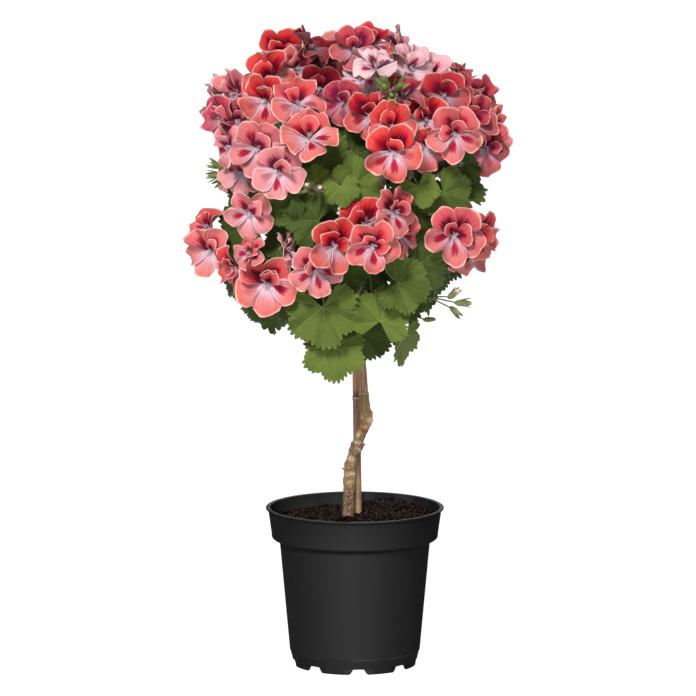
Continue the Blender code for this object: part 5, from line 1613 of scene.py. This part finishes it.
def dress_head(head, paints):
    """The fine pieces of one bloom head."""
    name = head_name(head)
    draw = random.Random(name)
    petals, greens, stamens = PetalSheaf(), Sheaf(), Sheaf()
    add_hub(greens, head, draw)
    for number, bloom in enumerate(head["blooms"]):
        if bloom["bud"]:
            showing = head["name"] == "s" or head["name"] == "p" and bloom["size"] > 0.48
            spread = BUD_SPREADS.get(head["name"], 0.15)
            add_bud(greens, petals, bloom, np.array(head["hub"]), draw, showing, spread)
            continue
        tint = TINTS.get(head["name"], {}).get(number)
        # A bloom without a listed tint gets a random one, with a little painted shade as its second number
        if tint is None:
            tint = (draw.uniform(0, 0.25), draw.uniform(0, 0.2), draw.uniform(0, 0.15))
        add_pedicel(greens, bloom, head["hub"], draw)
        add_bloom(petals, greens, stamens, bloom, tint, draw)
    stand_for(greens.build(name + "_greens", [paints["stem"]]), name)
    if petals.points:
        faces = [paints["petal_front"], paints["petal_back"]]
        stand_for(petals.build(name + "_petals", faces), name)
    if stamens.points:
        stand_for(stamens.build(name + "_stamens", [paints["stamen"]]), name)


def leaf_shape(length, draw):
    """Points of a leaf on a fan-shaped grid, with its place: sideways, forwards, and the rim."""
    degrees = np.arange(-LEAF_HALF_SPREAD, LEAF_HALF_SPREAD + LEAF_STEP / 2, LEAF_STEP)
    angle = np.radians(degrees)[None, :]
    ring = np.linspace(0, 1, LEAF_RINGS)[:, None] ** 0.85
    fan = np.pi * degrees / (2 * LOBE_STEP)
    lobe = 2 * np.abs(np.cos(fan)) ** 0.8 - 1
    count = len(degrees)
    depth = [draw.uniform(*TOOTH_SIZES) for _ in range(count // 4 + 2)]
    teeth = np.array([SAW[at % 4] * depth[at // 4] for at in range(count)])
    reach = (0.62 + 0.38 * np.cos(angle / 2)) * (0.91 + 0.09 * lobe)
    reach = reach * (1 + 0.03 * np.sin(angle * 2.3 + draw.uniform(0, 6)))
    edge = reach * (1 + TOOTH_DEPTH * (teeth - 0.5))
    radius = ring * (reach + (edge - reach) * ring ** 5)
    x = radius * np.sin(angle)
    y = -radius * np.cos(angle)
    cup = 0.16 * np.sin(angle) ** 2 - 0.12 * np.cos(angle) ** 2
    z = cup * ring ** 1.6 * reach - PLEAT_DEPTH * np.cos(2 * fan) * ring ** 1.2 * reach
    z = z - 0.010 * np.cos(math.tau * degrees / 14) * ring ** 2 * reach
    phase = draw.uniform(0, 6)
    z = z + draw.uniform(*BROAD_WAVES) * ring ** 2 * np.sin(angle * draw.uniform(4, 6.5) + phase)
    z = z + draw.uniform(*FINE_WAVES) * ring ** 4 * np.sin(angle * draw.uniform(12, 18) + phase)
    z = z + 0.012 * np.sin(ring * 9 + phase) * np.sin(angle * 9 + phase) * ring
    z = z + draw.uniform(*LEAF_DROOP) * ring ** 2.5
    z = z + draw.uniform(*LEAF_SLANT) * ring ** 2 * np.sin(angle)
    place = np.stack([x, y, 1 - ring + 0 * x], axis=-1)
    return np.stack([x, y, z], axis=-1) * length, place


def add_leaf(stems, leaves, leaf, draw):
    """One leaf with its hairy stalk and the two stipules at the stalk's root."""
    stalk = smooth_path(leaf["stalk"], 5)
    width = np.linspace(PETIOLE_RADIUS * 1.05, PETIOLE_RADIUS * 0.75, len(stalk))
    stems.tube(stalk, width, 8, (0.7, 0.25, draw.uniform(0, 9)))
    add_hairs(stems, stalk, PETIOLE_RADIUS * 0.8, 30, 0.8 * MM, PALE_HAIRS, draw)
    begin = unit(stalk[1] - stalk[0])
    for turn in (-1, 1):
        away = unit(np.cross(begin, [0.2, 0.3, 1.0])) * turn
        root = stalk[0] + away * 1.6 * MM
        leaflet(stems, root, unit(begin + away * 0.6), -away, 6 * MM, 3.6 * MM, BRACT_GREEN, draw)
    shape, place = leaf_shape(leaf["length"], draw)
    tone = leaf["tone"]
    if tone is None:
        tone = draw.uniform(0.2, 0.6)
    points = shape @ turn_array(leaf["axes"]) + np.array(leaf["at"])
    leaves.blade(points, LEAF_SKIN, place, (tone, draw.uniform(0, 50), 0))


def dress_branch(branch, paints):
    """The fine pieces of one branch: its stem with the leaf stalks, and its leaves."""
    name = branch["name"]
    draw = random.Random(name)
    stems, leaves = Sheaf(), Sheaf()
    line = smooth_path(branch["path"], 5)
    radii = np.linspace(BRANCH_RADIUS * 1.02, BRANCH_TIP_RADIUS, len(line))
    radii = radii * (1 + 0.05 * np.sin(np.arange(len(line)) * 1.7))
    stems.tube(line, radii, 10, (0.35, 0.25, draw.uniform(0, 9)))
    add_hairs(stems, line, BRANCH_TIP_RADIUS, 50, HAIR_LENGTH, (0.9, 0, 0), draw)
    for leaf in branch["leaves"]:
        add_leaf(stems, leaves, leaf, draw)
    stand_for(stems.build(name + "_stems", [paints["stem"]]), name)
    if leaves.points:
        faces = [paints["leaf_front"], paints["leaf_back"]]
        stand_for(leaves.build(name + "_leaves", faces), name)


def add_bark(sheaf):
    """The trunk's surface with its knots and rings. Its place says how light and how pale it is."""
    points, radii = trunk_route()
    line = smooth_path(points, TRUNK_STEPS)
    width = np.interp(np.arange(len(line)) / TRUNK_STEPS, np.arange(len(radii)), radii)
    way = unit(np.gradient(line, axis=0))
    side = unit(np.cross(np.broadcast_to((0, 1.0, 0), way.shape), way))
    other = np.cross(way, side)
    angle = np.linspace(0, math.tau, TRUNK_SIDES, endpoint=False)
    height = line[:, 2][:, None] / MM
    ring = side[:, None] * np.cos(angle)[:, None] + other[:, None] * np.sin(angle)[:, None]
    plain = line[:, None] + ring * width[:, None, None]
    old = np.clip((275 - height) / 40, 0, 1)
    swell = 0.05 * np.sin(3 * angle + height * 0.045) + 0.04 * np.sin(5 * angle - height * 0.11 + 1)
    coarse = np.array([[noise.noise(Vector(point) * 210) for point in row] for row in plain])
    fine = [[noise.noise(Vector((x * 520, y * 520, z * 260))) for x, y, z in row] for row in plain]
    flakes = np.array(fine)
    reach = width[:, None] * (1 + swell * (0.25 + 0.75 * old))
    reach = reach + MM * old * (0.9 * coarse + 0.9 * np.abs(flakes) - 0.2) + MM * 0.25 * flakes
    light = np.zeros(reach.shape)
    pale = np.zeros(reach.shape)
    for up, turn, lift, tall, broad, shade in KNOTS:
        off = (np.degrees(angle)[None, :] - turn + 180) % 360 - 180
        bell = np.exp(-((height - up) / tall) ** 2 - (off / broad) ** 2)
        reach = reach + lift * MM * bell
        light = np.maximum(light, bell * shade)
    for up, lift, tall, shade in TRUNK_RINGS:
        bell = np.exp(-((height - up - 0.5 * np.sin(angle * 2)) / tall) ** 2)
        reach = reach + lift * MM * bell
        pale = np.maximum(pale, bell * shade)
    grid = line[:, None] + ring * reach[..., None]
    grid = np.concatenate([line[:1, None] + 0 * ring[:1], grid, line[-1:, None] + 0 * ring[-1:]])
    place = np.stack([light, pale, 0 * light], axis=-1)
    sheaf.grid(grid, np.concatenate([place[:1], place, place[-1:]]), closed=True)


def dress_trunk(branches, paint):
    """The knotty trunk with the stubs of the branches and its dead twigs."""
    sheaf = Sheaf()
    add_bark(sheaf)
    for branch in branches:
        stub = smooth_path([branch["middle"], branch["stump_end"]], 4)
        radii = np.linspace(STUMP_RADIUS * 1.15, BRANCH_RADIUS * 1.05, len(stub))
        sheaf.tube(stub, radii, 10, end=0)
    for height, away, length in TWIGS:
        middle, radius = trunk_point(height * MM)
        tip = middle + Vector(away).normalized() * (radius + length * MM)
        sheaf.tube([middle, middle.lerp(tip, 0.7), tip], TWIG_RADII, 8, end=0)
    stand_for(sheaf.build("trunk_bark", [paint]), "trunk")


def dress_cane(paint):
    """The cane: a slightly tapered rod with a raised ring and a groove at each node."""
    along = np.linspace(0, 1, CANE_RINGS)
    line = np.array(CANE_FOOT) + along[:, None] * np.array(CANE_TOP - CANE_FOOT)
    radii = CANE_RADIUS * (1 - 0.04 * along) * (1 + 0.006 * np.sin(along * 60))
    for height in CANE_NODE_HEIGHTS:
        for lift, above, half in ((0.6, 0, 1.1), (-0.25, 2.6, 1.2)):
            bell = np.exp(-((line[:, 2] - height - above * MM) / (half * MM)) ** 2)
            radii = radii + lift * MM * bell
    sheaf = Sheaf()
    sheaf.tube(line, radii, 28)
    stand_for(sheaf.build("cane_skin", [paint]), "cane")


def lathe(sheaf, profile, sides):
    """Turn a profile of radius and height, from the inside outwards and down, or the other way."""
    profile = np.array(profile, float)
    angle = np.linspace(0, math.tau, sides, endpoint=False)
    points = np.zeros((len(profile), sides, 3))
    points[..., 0] = profile[:, 0:1] * np.cos(angle)
    points[..., 1] = profile[:, 0:1] * np.sin(angle)
    points[..., 2] = profile[:, 1:2]
    sheaf.grid(points, closed=True)


def arc(centre, radius, start, stop, steps):
    """Points of an arc in the profile, angles in degrees."""
    turns = np.radians(np.linspace(start, stop, steps))
    return [(centre[0] + radius * math.cos(turn), centre[1] + radius * math.sin(turn)) for turn in turns]


def pot_profile():
    """The pot's outline, from the middle of its floor up the inside, over the lip and down outside."""
    lip_radius = pot_inner()[5][0]
    plate_top = PLATE_HEIGHT + WALL
    lip = 0.9 * MM
    profile = [(0, WALL), (DIP_RADIUS - WALL, WALL), (DIP_RADIUS + 2 * MM - WALL, plate_top)]
    profile += pot_inner()[:5]
    profile += [(lip_radius, POT_HEIGHT - LIP_HEIGHT), (lip_radius + 0.1 * MM, POT_HEIGHT - lip)]
    profile += arc((lip_radius + lip, POT_HEIGHT - lip), lip, 180, 90, 4)[1:]
    profile += arc((RIM_RADIUS - lip, POT_HEIGHT - lip), lip, 90, -45, 7)
    for inward, drop in ((1.3, 2.0), (2.0, 2.8), (2.6, 3.8), (3.0, 5.2)):
        profile.append((RIM_RADIUS - inward * MM, POT_HEIGHT - drop * MM))
    profile += [(COLLAR_FOOT_RADIUS + 0.1 * MM, COLLAR_FOOT_HEIGHT + 3 * MM)]
    profile += arc((COLLAR_FOOT_RADIUS - 3.0 * MM, COLLAR_FOOT_HEIGHT + 0.5 * MM), 3.0 * MM, 0, -70, 6)
    profile += [(BODY_TOP_RADIUS + 2.2 * MM, STEP_HEIGHT + 0.9 * MM)]
    profile += arc((BODY_TOP_RADIUS + 1.2 * MM, STEP_HEIGHT - 1.2 * MM), 1.2 * MM, 100, 180, 4)
    profile += [(BODY_TOP_RADIUS - 0.2 * MM, STEP_HEIGHT - 3 * MM)]
    slope = (BODY_TOP_RADIUS - BODY_FOOT_RADIUS) / (STEP_HEIGHT - BODY_FOOT_HEIGHT)
    for height in (110, 90, 70, 50, 30):
        profile.append((BODY_FOOT_RADIUS + slope * (height * MM - BODY_FOOT_HEIGHT), height * MM))
    profile += [(BODY_FOOT_RADIUS, BODY_FOOT_HEIGHT)]
    profile += [(BODY_FOOT_RADIUS - 0.7 * MM, BODY_FOOT_HEIGHT - 0.5 * MM)]
    for outward, height in ((3.1, 13), (1.9, 8.5), (0.9, 4), (0.5, 1.2), (0, 0.2), (-0.8, 0)):
        profile.append((FOOT_RADIUS + outward * MM, height * MM))
    profile += [(FOOT_RADIUS - WALL, 0), (FOOT_RADIUS - WALL, PLATE_HEIGHT)]
    return profile + [(DIP_RADIUS + 2 * MM, PLATE_HEIGHT), (DIP_RADIUS, 0), (0, 0)]


def dress_pot(paint):
    """The pot with its rolled lip, stepped collar, tapering body and notched foot."""
    sheaf = Sheaf()
    lathe(sheaf, pot_profile(), POT_SIDES)
    made = sheaf.build("pot_shell", [paint])
    weld = made.modifiers.new("weld", "WELD")
    weld.merge_threshold = WELD_DISTANCE
    apply_modifiers(made)
    cutters = []
    for foot in range(FEET):
        angle = POT_TURN - math.pi / 2 + math.tau * foot / FEET
        cutters.append(foot_cutter(angle, NOTCH_TOP_WIDTH, NOTCH_FOOT_WIDTH, NOTCH_HEIGHT, 8 * MM))
        cutters.append(foot_cutter(angle, 30 * MM, 31 * MM, 6.8 * MM, 1.7 * MM))
    cut_away(made, cutters)
    made.data.shade_smooth()
    made.data.set_sharp_from_angle(angle=SHARP_ANGLE)
    stand_for(made, "pot")


def foot_cutter(angle, top, foot, height, depth):
    """A slot with sloping sides and rounded corners between two feet, or the shallow step round it."""
    top, foot = top / 2, foot / 2
    right = [(foot + 0.4 * MM, -1 * MM), (foot, 0), (foot - 0.4 * (foot - top), 0.9 * MM)]
    right += [(top + 0.3 * MM, height - 1.0 * MM), (top, height - 0.3 * MM), (top - 0.6 * MM, height)]
    outline = right + [(-y, z) for y, z in reversed(right)]
    near, far = FOOT_RADIUS - depth, FOOT_RADIUS + 8 * MM
    points = [(near, y, z) for y, z in outline] + [(far, y, z) for y, z in outline]
    count = len(outline)
    faces = [tuple(range(count))[::-1], tuple(range(count, 2 * count))]
    faces += [(at, (at + 1) % count, (at + 1) % count + count, at + count) for at in range(count)]
    mesh = bpy.data.meshes.new("foot_cutter")
    mesh.from_pydata(points, [], faces)
    made = bpy.data.objects.new("foot_cutter", mesh)
    made.matrix_world = Matrix.Rotation(angle, 4, "Z")
    bpy.context.scene.collection.objects.link(made)
    return made


def apply_modifiers(piece):
    """Make what the modifiers give the piece's own mesh."""
    graph = bpy.context.evaluated_depsgraph_get()
    mesh = bpy.data.meshes.new_from_object(piece.evaluated_get(graph), depsgraph=graph)
    piece.modifiers.clear()
    piece.data = mesh


def cut_away(piece, cutters):
    """Take the cutters away from the piece, and remove them."""
    for cutter in cutters:
        taken = piece.modifiers.new("cut", "BOOLEAN")
        taken.operation = "DIFFERENCE"
        taken.object = cutter
    apply_modifiers(piece)
    for cutter in cutters:
        bpy.data.objects.remove(cutter)


def soil_height(x, y, edge):
    """The height of the soil's top: mounded, with a heap behind the trunk on the right."""
    share = np.clip(np.sqrt(x ** 2 + y ** 2) / edge, 0, 1)
    mound = np.interp(share, (0, 0.4, 0.8, 1), (0.9, 0.85, 0.45, 0))
    waves = 0.8 * MM * np.sin(x * 130 + 1) * np.sin(y * 110) + 0.5 * MM * np.sin(x * 300 + y * 210)
    heap = 7.5 * MM * np.exp(-((x - 42 * MM) / (34 * MM)) ** 2 - ((y - 58 * MM) / (30 * MM)) ** 2)
    lean = 0.020 * x + 0.015 * y
    return SOIL_EDGE_HEIGHT + SOIL_MOUND * (mound - 0.05) + waves * (1 - share ** 4) + heap + lean - 1.2 * MM


def add_soil_top(sheaf, edge, draw):
    """The uneven top of the peat, out to its edge."""
    share = np.linspace(0, 1, SOIL_RINGS)[:, None] ** 0.8
    angle = np.linspace(0, math.tau, SOIL_SIDES, endpoint=False)[None, :]
    x = edge * share * np.cos(angle)
    y = edge * share * np.sin(angle)
    rough = np.array([[draw.uniform(-1, 1) for _ in range(SOIL_SIDES)] for _ in range(SOIL_RINGS)])
    z = soil_height(x, y, edge) + 0.9 * MM * rough * np.minimum(1, (1 - share) * 12)
    z = np.maximum(z, SOIL_EDGE_HEIGHT - 3 * MM)
    sheaf.grid(np.stack([x, y, z], axis=-1), closed=True)


def add_crumb(sheaf, x, y, edge, size, lift, draw):
    """One rough crumb, a lumpy little ball, lifted a little from the soil's top."""
    z = float(soil_height(np.array(x), np.array(y), edge)) + lift
    rows, columns = 4, 5
    rise = np.linspace(-math.pi / 2, math.pi / 2, rows)[:, None]
    turn = np.linspace(0, math.tau, columns, endpoint=False)[None, :]
    lumps = np.array([[draw.uniform(0.65, 1.2) for _ in range(columns)] for _ in range(rows)])
    lumps[0] = lumps[0, 0]
    lumps[-1] = lumps[-1, 0]
    ball = [np.cos(rise) * np.cos(turn), np.cos(rise) * np.sin(turn), np.sin(rise) + 0 * turn]
    squash = np.array([draw.uniform(0.7, 1.3), draw.uniform(0.7, 1.3), draw.uniform(0.5, 0.9)])
    points = np.stack(ball, axis=-1) * lumps[..., None] * squash * size + np.array((x, y, z))
    sheaf.grid(points, closed=True)


def dress_soil(paint):
    """The loose peat: an uneven top, crumbs of all sizes, and its plain sides in the pot."""
    draw = random.Random(SEED)
    foot, *walls, low, high = pot_inner()
    edge = low[0] + (high[0] - low[0]) * (SOIL_EDGE_HEIGHT - low[1]) / (high[1] - low[1]) - SOIL_GAP
    sheaf = Sheaf()
    add_soil_top(sheaf, edge, draw)
    sides = [(edge, SOIL_EDGE_HEIGHT - 0.2 * MM)]
    sides += [(radius - SOIL_GAP, height + SOIL_GAP * 0.5) for radius, height in (low, *walls[::-1])]
    sides += [(foot[0] - SOIL_GAP, foot[1] + SOIL_GAP), (0, foot[1] + SOIL_GAP)]
    lathe(sheaf, sides, 48)
    for _ in range(CRUMBS):
        reach = edge * math.sqrt(draw.uniform(0, 0.97))
        turn = draw.uniform(0, math.tau)
        size = draw.choice(CRUMB_SIZES) * MM * draw.uniform(0.8, 1.3)
        lift = size * draw.uniform(-0.1, 0.7)
        add_crumb(sheaf, reach * math.cos(turn), reach * math.sin(turn), edge, size, lift, draw)
    level = SOIL_EDGE_HEIGHT + 5 * MM
    cane = CANE_FOOT.lerp(CANE_TOP, (level - CANE_FOOT.z) / (CANE_TOP.z - CANE_FOOT.z))
    for middle, radius in (trunk_point(level), (cane, CANE_RADIUS)):
        for _ in range(FOOT_CRUMBS):
            turn = draw.uniform(0, math.tau)
            off = draw.uniform(0.2, 3.6) * MM
            size = draw.uniform(0.7, 1.5) * MM
            lift = (3.6 * MM - off) * draw.uniform(0.1, 0.6)
            x = middle.x + (radius + off) * math.cos(turn)
            y = middle.y + (radius + off) * math.sin(turn)
            add_crumb(sheaf, x, y, edge, size, lift, draw)
    stand_for(sheaf.build("soil_crumbs", [paint]), "soil")


def add_lamp(name, kind, power, place, target=(0, 0, 0)):
    """A light at a place, turned to its target. Where a sun stands only says where it shines from."""
    light = bpy.data.lights.new(name, kind)
    light.energy = power
    lamp = bpy.data.objects.new(name, light)
    way = Vector(place) - Vector(target)
    lamp.location = place
    lamp.rotation_euler = way.to_track_quat("Z", "Y").to_euler()
    bpy.context.scene.collection.objects.link(lamp)
    return lamp, way.length


def add_lights(shielded):
    """Broad even suns, the one from behind kept off the shielded pieces, and two soft beams."""
    for name, place, power, spread in SUNS:
        lamp, _ = add_lamp(name, "SUN", power, place)
        lamp.data.angle = math.radians(spread)
        if name == "back":
            lamp.light_linking.receiver_collection = shielded
    for name, place, power in BEAMS:
        lamp, away = add_lamp(name, "SPOT", power, place, BEAM_TARGET)
        lamp.data.spot_size = 2 * math.atan(BEAM_REACH / away)
        lamp.data.spot_blend = 0.3
        lamp.data.shadow_soft_size = 0.05


def add_camera():
    """The camera at the photograph's viewing angle."""
    camera = bpy.data.cameras.new("camera")
    camera.lens = CAMERA_LENS
    camera.sensor_width = 36
    camera.clip_end = 100
    eye = bpy.data.objects.new("camera", camera)
    back = Vector((0, -math.cos(CAMERA_ELEVATION), math.sin(CAMERA_ELEVATION)))
    eye.location = CAMERA_TARGET + back * CAMERA_DISTANCE
    eye.rotation_euler = (-back).to_track_quat("-Z", "Y").to_euler()
    bpy.context.scene.collection.objects.link(eye)
    bpy.context.scene.camera = eye


def set_studio():
    """A plain white floor, whose glow is kept off the pot, soft lights and the camera."""
    bpy.ops.mesh.primitive_plane_add(size=60)
    floor = bpy.context.object
    floor.name = "floor"
    floor.data.materials.append(floor_white())
    shielded = bpy.data.collections.new("shielded")
    shielded.objects.link(bpy.data.objects["pot_shell"])
    floor.light_linking.receiver_collection = shielded
    shielded.collection_objects[0].light_linking.link_state = "EXCLUDE"
    world = bpy.data.worlds.new("studio")
    bpy.context.scene.world = world
    world.use_nodes = True
    background = world.node_tree.nodes["Background"]
    background.inputs["Color"].default_value = (1, 1, 1, 1)
    background.inputs["Strength"].default_value = WORLD_LIGHT
    add_lights(shielded)
    add_camera()
    bpy.context.scene.view_settings.view_transform = "Standard"


def main():
    """Place everything by the rules, and make the fine pieces and the studio."""
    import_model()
    standing = Standing()
    trunk, cane = woody_tests()
    standing.add("trunk", trunk)
    standing.add("cane", cane)
    heads = set_heads(standing)
    branches = set_branches(heads, standing)
    for number, leaf in enumerate(plan_leaves()):
        settle_leaf(f"leaf_{number}", leaf, branches, standing)
    paints = {
        "petal_front": petal_front(), "petal_back": petal_back(), "leaf_front": leaf_front(),
        "leaf_back": leaf_back(), "stem": stem_green(), "stamen": stamen_pale(),
    }
    for head in heads:
        dress_head(head, paints)
    for branch in branches:
        dress_branch(branch, paints)
    dress_trunk(branches, bark())
    dress_cane(bamboo())
    dress_pot(black_plastic())
    dress_soil(peat())
    set_studio()
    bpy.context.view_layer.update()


main()
